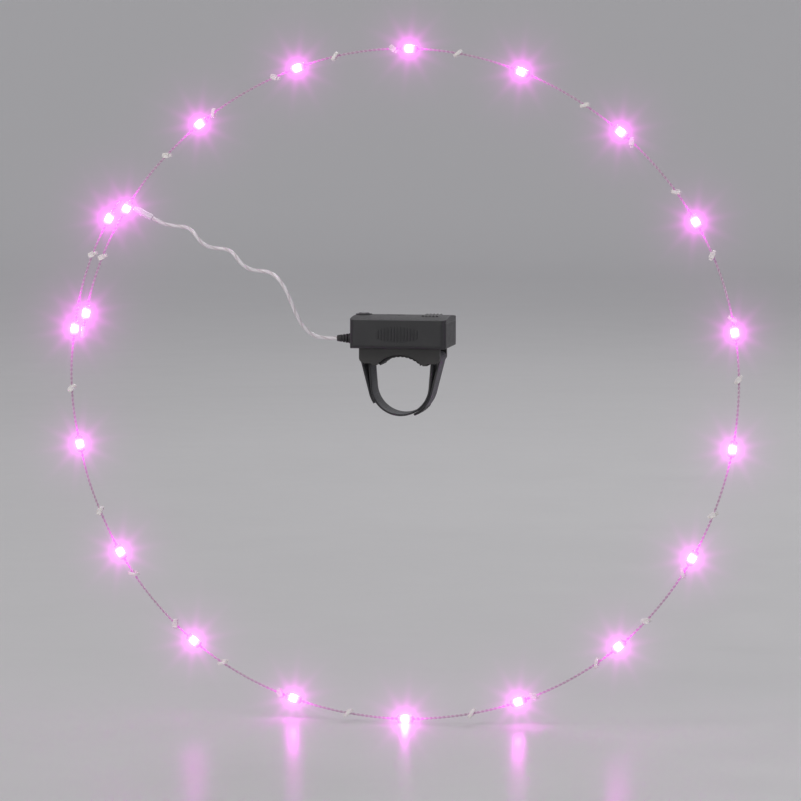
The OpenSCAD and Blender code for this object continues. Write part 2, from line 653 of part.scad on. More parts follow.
module saddle_pad() {
    color("#3a3a3d") across(strap_w) difference() {
        intersection() {
            circle(saddle_r);
            polygon([[0, 0], for (a = [1, -1] * PAD_HALF_ANGLE) 2 * saddle_r * [sin(a), cos(a)]]);
        }
        circle(hub_r);
    }
}

// Strap: one band, from its hook end over a bar, down round the hub and over the other bar to its sewn end
ARC_STEP = 5;           // degrees between points of the strap's bends
function arc(c, r, from, to) =
    let (n = ceil(abs(to - from) / ARC_STEP))
    [for (i = [0:n]) let (a = mix(from, to, i / n)) c + r * [cos(a), sin(a)]];
function reverse(list) = [for (i = [len(list) - 1:-1:0]) list[i]];
function strap_side(end_angle) = concat(
    arc([0, 0], ply_2_r, -end_angle, return_angle),
    arc([bar_x, bar_z], wrap_r, return_angle, leave_angle + 180));
strap_path = concat(
    strap_side(hook_end_angle),
    arc([0, 0], ply_1_r, leave_angle, -180 - leave_angle),
    [for (p = reverse(strap_side(sewn_end_angle))) [-p.x, p.y]]);
echo(strap_length = path_length(strap_path));

module hub_strap() {
    n = len(strap_path) - 1;
    // the face towards the hub is drawn a little deep, and the hub's own radius then cuts it true
    function band(i, way) =
        let (t = tangent(strap_path, i), p = strap_path[i],
             deep = way < 0 && abs(norm(p) - ply_1_r) < NEAR ? BORE_GAP : 0)
        p + way * (strap_t / 2 + deep) * [-t.y, t.x];
    color("#2a2a2c") across(strap_w) difference() {
        polygon(concat([for (i = [0:n]) band(i, 1)], [for (i = [n:-1:0]) band(i, -1)]));
        circle(hub_r);
    }
}

// Cells and contacts: the first and third cells point to the open end, the second to the board end
CELL_EDGE_R = 0.6;      // radius on a cell's edges
CELL_GROOVE_R = 5.2;    // radius of the groove round a cell's nub
CELL_GROOVE_W = 0.8;
CELL_GROOVE_H = 0.4;
PLATE_INSET = 1;        // how far a contact plate ends inside a cell's sides
PLATE_UP = 6;           // height of a contact plate above the cells' axis
bay_middle = (x_plate + x_plate_end) / 2;
plate_half = (x_plate_end - x_plate) / 2;
cell_start = plate_half - TOUCH_GAP - cell_l;
function cell_y(i) = (i - (CELLS - 1) / 2) * cell_pitch;

// Children in a cell's own frame: X from its negative plate to its positive plate
module at_cell(i) {
    translate([bay_middle, cell_y(i), cell_z]) rotate([0, 0, i % 2 == 0 ? 0 : 180]) children();
}

module cell(i) {
    can_l = cell_l - nub_h;
    color("#2f7f78") at_cell(i) translate([cell_start, 0, 0]) rotate([0, 90, 0]) rotate_extrude() {
        difference() {
            translate([0, can_l / 2]) capsule_profile(cell_d / 2, can_l, CELL_EDGE_R);
            translate([-OVER, -OVER]) square([OVER, can_l + 2 * OVER]);
            translate([CELL_GROOVE_R, can_l - CELL_GROOVE_H]) square([CELL_GROOVE_W, CELL_GROOVE_H + OVER]);
        }
        translate([0, can_l - CELL_GROOVE_H]) square([nub_d / 2, nub_h + CELL_GROOVE_H]);
    }
}

SPRING_RINGS = 10;      // points in one turn of a spring
spring_from = TOUCH_GAP + spring_wire_d / 2 - plate_half;
spring_to = cell_start - TOUCH_GAP - spring_wire_d / 2;
spring_steps = ceil(spring_turns * SPRING_RINGS);
spring_path = [for (i = [0:spring_steps])
    let (t = i / spring_steps, a = 360 * spring_turns * t, r = mix(spring_base_r, spring_tip_r, t))
    [mix(spring_from, spring_to, t), r * cos(a), r * sin(a)]];
echo(spring_gap = least_gap(spring_path, spring_wire_d, ceil(SPRING_RINGS / 2)));

module contact_springs() {
    color("silver") for (i = [0:CELLS - 1])
        at_cell(i) tube(spring_path, spring_wire_d, SPRING_SIDES, [1, 0, 0]);
}

// One plate from cell i to cell j on a bay wall, from height z upwards
module contact_plate(x, i, j, z) {
    block([x, cell_y(i) - cell_d / 2 + PLATE_INSET, z],
          [x + plate_t, cell_y(j) + cell_d / 2 - PLATE_INSET, cell_z + PLATE_UP]);
}

module contact_plates() {
    over_wire = return_z + RETURN_WIRE_D / 2 + SEAT_GAP;
    color("silver") {
        contact_plate(x_bay, 0, 0, over_wire);
        contact_plate(x_bay, 1, 2, over_wire);
        contact_plate(x_plate_end, 0, 1, over_wire);
        // the last plate reaches down to the wire that is soldered to it
        contact_plate(x_plate_end, 2, 2, floor_z + SEAT_GAP);
    }
}

// Board, switch and button
module circuit_board() {
    color("#1f6b3a") difference() {
        translate([board_x - board_l / 2, -board_w / 2, board_z]) cube([board_l, board_w, board_t]);
        for (s = [-1, 1]) translate([board_x, s * board_screw_y, board_z - OVER])
            cylinder(d = screw_d + 2 * BORE_GAP, h = board_t + 2 * OVER);
    }
}

module board_screws() {
    color("silver") for (s = [-1, 1]) translate([board_x, s * board_screw_y, tact_z])
        screw(SCREW_L + board_t - SEAT_GAP);
}

module driver_chip() {
    color("#202022") translate([board_x - DRIVER_SIZE.x / 2, DRIVER_Y - DRIVER_SIZE.y / 2, tact_z])
        cube(DRIVER_SIZE);
}

module chip_resistors() {
    color("#303030") for (i = [0:RESISTORS - 1])
        translate([board_x - RESISTOR_SIZE.x / 2, RESISTOR_Y + i * RESISTOR_PITCH, tact_z])
            cube(RESISTOR_SIZE);
}

module tact_switch() {
    hole = PLUNGER_SUNK + button_travel + SEAT_GAP;
    color("#c8c8cc") difference() {
        translate([x_button - tact_w / 2, -tact_w / 2, tact_z]) cube([tact_w, tact_w, tact_h]);
        translate([x_button, 0, tact_top_z - hole]) cylinder(d = plunger_d + 2 * BORE_GAP, h = hole + OVER);
    }
}

module tact_plunger() {
    color("#111111") translate([x_button, 0, tact_top_z - PLUNGER_SUNK])
        cylinder(d = plunger_d, h = PLUNGER_RISE + PLUNGER_SUNK);
}

module button_cap() {
    color("#3a3a3d") translate([x_button, 0, flange_z]) {
        linear_extrude(FLANGE_H) intersection() {
            circle(d = button_d + 2 * FLANGE_OUT);
            square([flange_w, 2 * button_d], center = true);
        }
        translate([0, 0, -STEM_L]) cylinder(d = STEM_D, h = STEM_L + OVER / 2);
        translate([0, 0, (button_top_z - flange_z) / 2]) rotate_extrude() intersection() {
            capsule_profile(button_d / 2, button_top_z - flange_z, BUTTON_R);
            translate([0, flange_z - button_top_z]) square([button_d, 2 * (button_top_z - flange_z)]);
        }
    }
}

// Gland, lead and wires
module cable_gland() {
    bore_r = lead_d / 2 + BORE_GAP;
    color("#2b2b2d") translate(gland_base) rotate([0, 90, 0]) rotate_extrude() difference() {
        union() {
            translate([0, -OVER]) square([gland_neck_d / 2, wall + 2 * OVER]);
            translate([0, wall + TOUCH_GAP]) square([gland_flange_r, GLAND_FLANGE_H - TOUCH_GAP]);
            polygon([[0, -gland_l], [bore_r + GLAND_LIP, -gland_l], [gland_d / 2, -GLAND_COLLAR],
                     [gland_d / 2, -TOUCH_GAP], [0, -TOUCH_GAP]]);
        }
        translate([-OVER, -gland_l - OVER]) square([bore_r + OVER, gland_l + wall + 4 * OVER]);
        for (i = [1:BOOT_GROOVES])
            translate([bore_r + GLAND_LIP, -GLAND_COLLAR - i * BOOT_GROOVE_PITCH])
                square([gland_d, BOOT_GROOVE_W]);
    }
}

// Route that runs along X from p to a bend at x, then up to height z
function up_turn(p, x, z) =
    let (way = sign(x - p.x), c = [x - way * WIRE_BEND, p.y, p.z + WIRE_BEND])
    concat([p], [for (a = [0:BEND_STEP:90]) c + WIRE_BEND * [way * sin(a), 0, -cos(a)]], [[x, p.y, z]]);

module core_wires() {
    color("#b02020") for (s = [-1, 1]) {
        y = s * (core_d / 2 + CORE_SPACE) - gland_y;
        x = lead_inner_x + TOUCH_GAP;
        tube(up_turn([x, y, gland_z], x + CORE_OUT + WIRE_BEND, board_z - TOUCH_GAP), core_d);
    }
}

module return_wire() {
    from = [x_plate_end - TOUCH_GAP, return_y, return_z];
    color("#b02020") tube(up_turn(from, board_x, board_z - TOUCH_GAP), RETURN_WIRE_D);
}

module lead_cable() { color("#e8e6ea") tube(lead_path, lead_d); }

module splice_sleeve() {
    r = splice_d / 2;
    wire_bore = wire_d / 2 + BORE_GAP;
    lead_bore = lead_d / 2 + BORE_GAP;
    // Z runs from the string's end of the sleeve to the lead's end
    color("#dddde2") translate(beside_spoke(splice_from_rim)) multmatrix([
        [lead_n1.x, lead_n2.x, lead_dir.x, 0],
        [lead_n1.y, lead_n2.y, lead_dir.y, 0],
        [lead_n1.z, lead_n2.z, lead_dir.z, 0]])
        rotate_extrude() difference() {
            polygon([[0, 0], [wire_bore + splice_wall, 0], [r, splice_l / 4], [r, splice_l], [0, splice_l]]);
            translate([-OVER, -OVER]) square([wire_bore + OVER, splice_l]);
            translate([-OVER, splice_l / 2 - 2 * TOUCH_GAP]) square([lead_bore + OVER, splice_l]);
        }
}

// String, lights and ties
module string_wire() { color("#e8e6ea") tube(string_path, wire_d); }

// Children at light i: X along the wire, Y along the axle
module at_led(i) {
    p = ring_point(led_angle(i) - straight_angle);
    q = ring_point(led_angle(i) + straight_angle);
    laid((p + q) / 2, plane_angle(q - p)) children();
}

CAVITY_R = 0.8;         // radius on the ends of a capsule's cavity
CAVITY_END = 2;         // length of solid resin at each end of a capsule

module led_capsule(i) {
    color("#ff5ad8") at_led(i) rotate([0, 90, 0]) rotate_extrude() difference() {
        capsule_profile(capsule_d / 2, capsule_l, capsule_round);
        translate([-OVER, -capsule_l]) square([wire_d / 2 + BORE_GAP + OVER, 2 * capsule_l]);
        capsule_profile(capsule_d / 2 - capsule_wall, capsule_l - 2 * CAVITY_END, CAVITY_R);
    }
}

module led_chips() {
    color("#fff2c0") for (i = [0:led_count - 1]) at_led(i)
        translate([-chip_l / 2, -wire_d / 2 - TOUCH_GAP - chip_h, -chip_w / 2])
            cube([chip_l, chip_h, chip_w]);
}

// A tie in its own frame: X across its band, Y along the axle, wire at y = 0 and spoke at y_spoke
module spoke_tie(y_spoke) {
    lo = min(-wire_d / 2 - SEAT_GAP, y_spoke - spoke_d / 2 - TIE_GAP);
    hi = max(wire_d / 2 + SEAT_GAP, y_spoke + spoke_d / 2 + TIE_GAP);
    // the head lies on the side of the wire
    head = y_spoke < 0 ? 1 : -1;
    head_y = head > 0 ? hi + tie_t : lo - tie_t;
    head_h = tie_head_h + tie_t / 2;
    along_x(-tie_w / 2, tie_w) translate([(lo + hi) / 2, 0]) difference() {
        round_rect(hi - lo + 2 * tie_t, 2 * (tie_in_half + tie_t), TIE_BEND_R + tie_t);
        round_rect(hi - lo, 2 * tie_in_half, TIE_BEND_R);
    }
    along_x(-tie_head_w / 2, tie_head_w) translate([head_y + head * (head_h - tie_t) / 2, 0])
        round_rect(head_h, tie_head_l, TIE_HEAD_R);
    along_x(-tie_w / 2, tie_w) translate([head_y + head * tie_head_h / 2, (tie_head_l + tie_tail - OVER) / 2])
        square([tie_t, tie_tail + OVER], center = true);
}

module spoke_ties() {
    color("#f4f4f0") for (t = ties) {
        k = t[0];
        p = string_at(t[1]);
        spoke = spoke_at_radius(k, norm([p.x, p.z]));
        laid(p, t[1] + 90 + TIE_SLANT * spoke_side(k)) spoke_tie(spoke.y - p.y);
    }
}

module end_seal() {
    way = unit(tail_point - tail_start);
    depth = end_seal_l * SEAL_SHARE;
    color("#dddde2") laid(tail_point - depth * way, plane_angle(way)) rotate([0, 90, asin(way.y)])
        rotate_extrude() difference() {
            translate([0, end_seal_l / 2]) capsule_profile(end_seal_d / 2, end_seal_l, CAVITY_R);
            translate([-OVER, -OVER]) square([wire_d / 2 + BORE_GAP + OVER, depth + TOUCH_GAP + OVER]);
            translate([-2 * OVER, -OVER]) square([2 * OVER, end_seal_l + 2 * OVER]);
        }
}

battery_box();
battery_cover();
hub_saddle();
saddle_screws();
saddle_pad();
hub_strap();
contact_springs();
contact_plates();
circuit_board();
board_screws();
driver_chip();
chip_resistors();
tact_switch();
tact_plunger();
button_cap();
cable_gland();
core_wires();
return_wire();
lead_cable();
splice_sleeve();
string_wire();
led_chips();
spoke_ties();
end_seal();
for (i = [0:CELLS - 1]) cell(i);
for (i = [0:led_count - 1]) led_capsule(i);
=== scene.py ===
# %% [markdown]
# # Spoke wheel light
# The real object is a ring of small magenta lights on a thin clear wire. Ties hold the wire to the spokes, a
# thicker lead winds down one spoke, and a battery pack is strapped to the hub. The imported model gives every
# size and place. Blender adds what solids can't show: twisted wire, woven strap, lit resin, grained plastic.
# Shapes are worked out in millimetres. Camera, lamps and finishes use metres, as Blender does.

import bmesh
import bpy
import numpy as np
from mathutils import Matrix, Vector


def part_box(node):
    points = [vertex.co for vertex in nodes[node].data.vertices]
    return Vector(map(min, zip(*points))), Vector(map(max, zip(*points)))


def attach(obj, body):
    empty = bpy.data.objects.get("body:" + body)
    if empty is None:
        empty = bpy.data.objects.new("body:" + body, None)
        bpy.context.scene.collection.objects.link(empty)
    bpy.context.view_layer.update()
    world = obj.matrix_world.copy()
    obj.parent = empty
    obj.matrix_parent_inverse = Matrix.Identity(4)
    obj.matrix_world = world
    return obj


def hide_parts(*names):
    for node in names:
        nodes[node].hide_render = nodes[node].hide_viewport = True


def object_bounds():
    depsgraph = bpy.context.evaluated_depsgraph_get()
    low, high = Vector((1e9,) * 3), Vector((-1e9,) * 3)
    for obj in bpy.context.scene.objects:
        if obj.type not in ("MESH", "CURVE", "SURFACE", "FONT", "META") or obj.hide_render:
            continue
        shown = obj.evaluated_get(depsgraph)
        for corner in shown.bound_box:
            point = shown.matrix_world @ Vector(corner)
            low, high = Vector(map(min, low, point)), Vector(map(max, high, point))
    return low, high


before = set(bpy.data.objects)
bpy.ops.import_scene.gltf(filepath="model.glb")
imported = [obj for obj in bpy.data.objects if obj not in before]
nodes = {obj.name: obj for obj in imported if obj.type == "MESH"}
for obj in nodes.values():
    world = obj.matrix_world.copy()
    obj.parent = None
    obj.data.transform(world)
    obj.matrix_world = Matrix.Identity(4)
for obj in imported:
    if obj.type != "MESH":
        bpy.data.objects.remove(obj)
cad_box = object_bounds()
scene = bpy.context.scene
MM = 0.001


def box_of(name):
    """Lowest and highest corner of a node, in millimetres."""
    return np.array(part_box(name)) / MM


print("frame:", len(nodes), "nodes, box", [round(x, 4) for v in cad_box for x in v])

# %% [markdown]
# ## Camera
# The object was photographed from low down and a little to one side of its axle, with a long lens, so the
# ring is almost a circle. A camera far away with a long lens gives the same flat view. It has no shift and no
# depth of field, because other views move it round the object.

# %% Camera
CAMERA_AT, CAMERA_AIM, CAMERA_LENS = (0.554, -3.14, 0.279), (-0.002, 0.0, -0.012), 195.0


def aim(obj, at, towards):
    """Puts a camera or a lamp into the scene at a point, looking at another."""
    obj.location = at
    obj.rotation_euler = (Vector(towards) - Vector(at)).to_track_quat("-Z", "Y").to_euler()
    scene.collection.objects.link(obj)


camera = bpy.data.objects.new("camera", bpy.data.cameras.new("camera"))
camera.data.lens = CAMERA_LENS
aim(camera, CAMERA_AT, CAMERA_AIM)
scene.camera = camera
print("camera", round((Vector(CAMERA_AT) - Vector(CAMERA_AIM)).length, 2), "m away")

# %% [markdown]
# ## Helpers for meshes
# Every new piece is a grid of points: one parameter runs along the piece, the other runs round it. A ring
# that is carried along a path makes a tube or a band, and a profile that turns about an axis makes a lathe
# form. Written once here, each later piece comes down to its own formula.

# %% Paths
ALONG, AXLE, UP = np.eye(3)


def unit(v):
    """Vectors divided by their own length."""
    return v / np.linalg.norm(v, axis=-1, keepdims=True)


def xyz(x, y, z):
    """Points from their coordinates. A coordinate that is one number holds for all of them."""
    return np.stack(np.broadcast_arrays(x, y, z), -1)


def arc_length(path):
    """Length along a path at each of its points."""
    return np.concatenate([[0.0], np.cumsum(np.linalg.norm(np.diff(path, axis=0), axis=1))])


def read_at(t, s, path):
    """Points of a path at values t, where s is the value at each of its own points."""
    return np.stack([np.interp(t, s, column) for column in path.T], -1)


def even(path, step):
    """The same path with points at even steps of its length."""
    s = arc_length(path)
    return read_at(np.linspace(0, s[-1], int(np.ceil(s[-1] / step)) + 1), s, path)


def smooth_path(p, steps):
    """Cubic curve through all the points. The slope at a point is the mean of its two sides' slopes, each
    weighted by the length of the other side, so uneven spacing makes no waves."""
    h = np.linalg.norm(np.diff(p, axis=0), axis=1)[:, None]
    d = np.diff(p, axis=0) / h
    m = np.vstack([d[:1], (d[:-1] * h[1:] + d[1:] * h[:-1]) / (h[1:] + h[:-1]), d[-1:]])
    t = (np.arange(steps) / steps)[None, :, None]
    a, b, h = p[:-1, None], p[1:, None], h[:, None]
    curve = ((1 + 2 * t) * (1 - t) ** 2 * a + t * (1 - t) ** 2 * h * m[:-1, None]
             + t * t * (3 - 2 * t) * b + t * t * (t - 1) * h * m[1:, None])
    return np.vstack([curve.reshape(-1, p.shape[1]), p[-1:]])


def ease(t):
    """Smooth step from 0 to 1."""
    t = np.clip(t, 0, 1)
    return t * t * (3 - 2 * t)


# %% Outlines
def turn_angles(n):
    """n even angles, once round."""
    return 2 * np.pi * np.arange(n) / n


def circle(r, sides):
    """Ring of offsets for a round tube."""
    return r * np.stack([np.cos(turn_angles(sides)), np.sin(turn_angles(sides))], -1)


def arc(centre, r, first, last, points):
    """Points of a flat arc, evenly spread between two angles in degrees."""
    a = np.radians(np.linspace(first, last, points))
    return np.stack([np.cos(a), np.sin(a)], -1) * r + centre


def round_rect(w, h, r, points):
    """Closed outline of a rectangle with round corners: four quarter circles with their points."""
    quarter = arc((w / 2 - r, h / 2 - r), r, 0, 90, points)
    left = quarter[::-1] * [-1, 1]
    return np.vstack([quarter, left, -quarter, -left])


# %% Places
def polar(angle, r, y=0.0):
    """Point at an angle and a radius in the ring's plane, y along the axle."""
    a = np.radians(angle)
    return xyz(r * np.cos(a), y, r * np.sin(a))


def laid(origin, angle):
    """Place whose X lies at an angle in the ring's plane, with Y along the axle."""
    return origin, polar(angle, 1.0), AXLE, polar(angle + 90, 1.0)


def along_way(origin, way):
    """Place whose X runs along a direction, and whose Y lies as near the axle as it can."""
    ez = unit(np.cross(way, AXLE))
    return origin, way, np.cross(ez, way), ez


def put(place, local):
    """Local points moved into a place, which is its origin and its X, Y and Z directions."""
    return place[0] + local[..., :1] * place[1] + local[..., 1:2] * place[2] + local[..., 2:] * place[3]


# %% Grids, tubes and lathe forms
class Shape:
    """Points, faces, UV and point values that are gathered before they become one mesh."""

    def __init__(self):
        self.points, self.faces, self.uv = [], [], []
        self.values, self.finish, self.count = {}, [], 0

    def grid(self, points, along=None, finish=0, wrap=False, open_end=False, **values):
        """A grid of rows by columns whose rows are closed rings. Flat faces close its two ends, unless wrap
        joins the last ring to the first or open_end leaves the last one open. U is the length along the rows,
        V the share of the way round."""
        rows, columns = points.shape[:2]
        i, j = np.meshgrid(np.arange(rows if wrap else rows - 1), np.arange(columns), indexing="ij")
        i, j = i.reshape(-1, 1), j.reshape(-1, 1)
        row, column = np.hstack([i, i, i + 1, i + 1]), np.hstack([j, j + 1, j + 1, j])
        quads = row % rows * columns + column % columns
        along = np.arange(rows, dtype=float) if along is None else along
        along = np.append(along, 2 * along[-1] - along[-2])
        uv = [np.stack([along[row], column / columns], -1).reshape(-1, 2)]
        faces = (quads + self.count).tolist()
        if not wrap:
            ends = np.array([np.arange(columns)[::-1], np.arange(columns) + (rows - 1) * columns])
            closed = 1 if open_end else 2
            faces += (ends[:closed] + self.count).tolist()
            uv.append(np.repeat([[along[0], 0.5], [along[rows - 1], 0.5]][:closed], columns, axis=0))
        for name in set(values) | set(self.values):
            new = np.broadcast_to(values.get(name, 0.0), (rows, columns)).ravel()
            self.values.setdefault(name, [np.zeros(self.count)]).append(new)
        self.points.append(points.reshape(-1, 3))
        self.faces += faces
        self.uv += uv
        self.finish += [finish] * len(faces)
        self.count += rows * columns
        return self

    def tube(self, path, ring, side=AXLE, **options):
        """Carries a closed ring of offsets along a path. The first offset runs square to the path and to the
        direction side, the second square to the path and the first. A ring may change from point to point."""
        t = unit(np.gradient(path, axis=0))
        b = unit(np.cross(t, side))
        c = np.cross(t, b)
        ring = np.broadcast_to(ring, (len(path),) + np.shape(ring)[-2:])
        points = path[:, None] + ring[..., :1] * b[:, None] + ring[..., 1:] * c[:, None]
        return self.grid(points, along=arc_length(path), **options)

    def lathe(self, profile, place, sides, **options):
        """Turns a profile of (distance along, distance from) about the X of a place."""
        x, r = np.asarray(profile, float).T[..., None]
        a = turn_angles(sides)
        return self.grid(put(place, xyz(x, r * np.cos(a), r * np.sin(a))), along=x[:, 0], **options)

    def made(self, name, finishes, smooth_up_to=40):
        """Makes the object, in metres: faces turned outwards, edges sharper than an angle kept sharp."""
        mesh = bpy.data.meshes.new(name)
        mesh.from_pydata((np.vstack(self.points) * MM).tolist(), [], self.faces)
        uv = mesh.uv_layers.new(name="along")
        uv.data.foreach_set("uv", np.vstack(self.uv).astype(np.float32).ravel())
        for key, parts in self.values.items():
            data = mesh.attributes.new(key, "FLOAT", "POINT").data
            data.foreach_set("value", np.concatenate(parts).astype(np.float32))
        for finish in finishes:
            mesh.materials.append(finish)
        mesh.polygons.foreach_set("material_index", np.array(self.finish, np.int32))
        work = bmesh.new()
        work.from_mesh(mesh)
        bmesh.ops.recalc_face_normals(work, faces=work.faces)
        work.to_mesh(mesh)
        work.free()
        mesh.shade_smooth()
        mesh.set_sharp_from_angle(angle=np.radians(smooth_up_to))
        obj = bpy.data.objects.new(name, mesh)
        scene.collection.objects.link(obj)
        print(name, len(mesh.vertices), "points,", len(mesh.polygons), "faces")
        return obj

    def piece(self, name, finishes, slot, body="light", stands_for=(), **options):
        """Makes the object and tells the frame its body and the nodes that it stands for. Its slot is not
        used.
        """
        obj = self.made(name, finishes, **options)
        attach(obj, body)
        if stands_for:
            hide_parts(*stands_for)


# %% [markdown]
# ## Helpers for finishes
# A finish is a Principled shader whose colour, roughness and bump come from procedural nodes. Patterns read
# Object coordinates, because each piece's object sits at the origin, or the piece's own UV map where a
# pattern follows a wire or a band. What is the same all over is set on the shader's own sockets.

# %% Finish builder
class Finish:
    """One material, with short calls for the nodes that the finishes share."""

    def __init__(self, name, **sockets):
        self.material = bpy.data.materials.new(name)
        self.material.use_nodes = True
        self.tree = self.material.node_tree
        self.shader = self.tree.nodes["Principled BSDF"]
        for key, value in sockets.items():
            self.shader.inputs[key.replace("_", " ")].default_value = value

    def node(self, kind, inputs=(), **settings):
        """Adds a node. inputs pairs a socket with a number, a colour or another node's output."""
        n = self.tree.nodes.new("ShaderNode" + kind)
        for key, value in settings.items():
            setattr(n, key, value)
        for key, value in dict(inputs).items():
            if isinstance(value, bpy.types.NodeSocket):
                self.tree.links.new(value, n.inputs[key])
            else:
                n.inputs[key].default_value = value
        return n

    def object(self, stretch=(1, 1, 1)):
        """Object coordinates in metres, stretched."""
        at = self.node("TexCoord").outputs["Object"]
        return self.node("Mapping", {"Vector": at, "Scale": stretch}).outputs["Vector"]

    def along(self, stretch=(1, 1, 1)):
        """The piece's own UV map, stretched: U along it in millimetres, V round it from 0 to 1."""
        uv = self.node("UVMap", uv_map="along").outputs["UV"]
        return self.node("Mapping", {"Vector": uv, "Scale": stretch}).outputs["Vector"]

    def noise(self, where, scale, detail=4.0):
        """Cloudy value from 0 to 1."""
        sockets = {"Vector": where, "Scale": scale, "Detail": detail, "Roughness": 0.55}
        return self.node("TexNoise", sockets).outputs["Fac"]

    def cloud(self, scale, **options):
        """Cloudy value that fills the object's space."""
        return self.noise(self.object(), scale, **options)

    def streak(self, stretch, scale):
        """Cloudy value that is drawn out along the piece."""
        return self.noise(self.along(stretch), scale)

    def grain(self, scale):
        """Distance to the nearest of many scattered points."""
        return self.node("TexVoronoi", {"Vector": self.object(), "Scale": scale}).outputs["Distance"]

    def value(self, name):
        """A value that the mesh carries at its points."""
        return self.node("Attribute", attribute_name=name).outputs["Fac"]

    def axis(self, where, name):
        """One coordinate of a vector."""
        return self.node("SeparateXYZ", {"Vector": where}).outputs[name]

    def math(self, operation, a, b=0.0):
        """Arithmetic on two values."""
        return self.node("Math", {0: a, 1: b}, operation=operation).outputs[0]

    def ramp(self, value, *stops):
        """Colours, or greys given as numbers, at places along a value."""
        n = self.node("ValToRGB", {"Fac": value})
        for i, (place, colour) in enumerate(stops):
            stop = n.color_ramp.elements[i] if i < 2 else n.color_ramp.elements.new(place)
            stop.position = place
            stop.color = (colour,) * 3 + (1,) if np.isscalar(colour) else colour + (1,)
        return n.outputs["Color"]

    def between(self, value, a, b, low=0.3, high=0.7):
        """Goes from one colour or grey to another while a value goes from low to high."""
        return self.ramp(value, (low, a), (high, b))

    def mix(self, share, under, over):
        """A fixed colour laid over another by a share."""
        n = self.node("Mix", {"Factor": share}, data_type="RGBA")
        self.tree.links.new(under, n.inputs[6])
        n.inputs[7].default_value = over + (1,)
        return n.outputs[2]

    def bump(self, height, strength, depth, under=None):
        """Tilts the surface by a height map, depth metres deep, over another bump if one is given."""
        sockets = {"Height": height, "Strength": strength, "Distance": depth}
        if under is not None:
            sockets["Normal"] = under
        return self.node("Bump", sockets).outputs["Normal"]

    def soft_edge(self, radius):
        """Normal that turns smoothly over sharp edges, and how much it turns, from 0 to 1."""
        turned = self.node("Bevel", {"Radius": radius}, samples=6).outputs["Normal"]
        flat = self.node("NewGeometry").outputs["Normal"]
        same = self.node("VectorMath", {0: turned, 1: flat}, operation="DOT_PRODUCT").outputs["Value"]
        return turned, self.math("SUBTRACT", 1.0, same)

    def set(self, **sockets):
        """Links outputs to the shader's sockets and returns the material."""
        for key, value in sockets.items():
            self.tree.links.new(value, self.shader.inputs[key.replace("_", " ")])
        print("finish", self.material.name, "of", len(self.tree.nodes), "nodes")
        return self.material


def dress(finish, *names):
    """Gives CAD nodes a finish."""
    for name in names:
        nodes[name].data.materials.clear()
        nodes[name].data.materials.append(finish)
    print(finish.name, "on", ", ".join(names))


# %% [markdown]
# ## The lines that the string is tied to
# Straight spokes decide where the wire weaves, where the ties sit and how the lead winds. Each runs from its
# place on a large circle to its place on a small one, so its crossing with the string's ring is the root of a
# quadratic equation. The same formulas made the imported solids.

# %% Spokes
SPOKES, SPOKE_D = 32, 2.0
CROSSES, LEAD_SPOKE = 3, 147.4  # spokes that one crosses on its own side, angle of the one with the lead
OUTER_R, INNER_R, INNER_Y = 268.5, 29.6, 32.0  # circles of the two ends, distance of the inner one from y = 0
SPOKE_STEP = 360 / SPOKES


def spoke(k):
    """Outer angle, side, outer end and inner end of spokes k. Neighbours lie on opposite sides, and pairs
    lean opposite ways."""
    k = np.asarray(k)
    angle = LEAD_SPOKE + k * SPOKE_STEP
    side = np.where(k % 2 == 0, -1, 1)
    lean = np.where(k // 2 % 2 == 0, 1, -1)
    inner = polar(angle - lean * CROSSES * 2 * SPOKE_STEP, INNER_R, side * INNER_Y)
    return angle, side, polar(angle, OUTER_R), inner


def spoke_at(k, r):
    """Where spokes k pass the circle of radius r: the first root of |outer + t (inner - outer)| = r in the
    ring's plane."""
    _, _, p, q = spoke(k)
    v = q - p
    a = v[..., 0] ** 2 + v[..., 2] ** 2
    b = p[..., 0] * v[..., 0] + p[..., 2] * v[..., 2]
    t = (-b - np.sqrt(b * b - a * (OUTER_R ** 2 - r * r))) / a
    return p + v * t[..., None]


def crossing_angle(k, r):
    """Angle of that crossing, counted on from the spoke's outer angle."""
    angle, p = spoke(k)[0], spoke_at(k, r)
    a = np.radians(angle)
    return angle + np.degrees(np.arcsin((np.cos(a) * p[..., 2] - np.sin(a) * p[..., 0]) / r))


print(SPOKES, "spokes,", round(SPOKE_STEP, 2), "degrees apart")

# %% [markdown]
# ## The string's route
# The ring creeps inwards as it goes round, so that its two ends can pass each other, and it wanders a little.
# It weaves from side to side to lie against each spoke, and steps aside where a light would touch one. The
# route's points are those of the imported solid, and a cubic curve through them rounds off their corners.

# %% Ring of lights
LEDS, LED_PITCH, FIRST_LED = 20, 86.0, 151.5
RING_R, RING_SWAY, SWAY_WAVES = 248.5, 0.8, 5
WIRE_D, CAPSULE_D, CAPSULE_L = 1.8, 5.6, 12.0
TIE_W, TIE_T, PASS_GAP = 2.4, 0.9, 0.6
SEAT, TIE_GAP, TOUCH, BORE = 0.3, 0.15, 0.05, 0.1  # room between pieces, from loose to close
MIDS, TAIL_L, SHIFT_RAMP = 5, 9.0, 5.5  # route points between lights, free end, degrees of a side step
LIGHT_PAST, ANGLE_SLACK = 0.5, 0.01  # straight wire past a capsule, slack in degrees
DEG = np.degrees(1 / RING_R)  # degrees in a millimetre of the ring
TIE_IN = max(WIRE_D, SPOKE_D) / np.sqrt(2) + TIE_W / 2 + TIE_GAP  # half the inside of a tie's loop
TIE_REACH = (TIE_IN + TIE_T + TIE_W / 2) / np.sqrt(2)  # how far a slanted tie reaches along the ring
RING_STEP = 2 * TIE_REACH + PASS_GAP  # creep inwards in one turn
LED_STEP = LED_PITCH * DEG
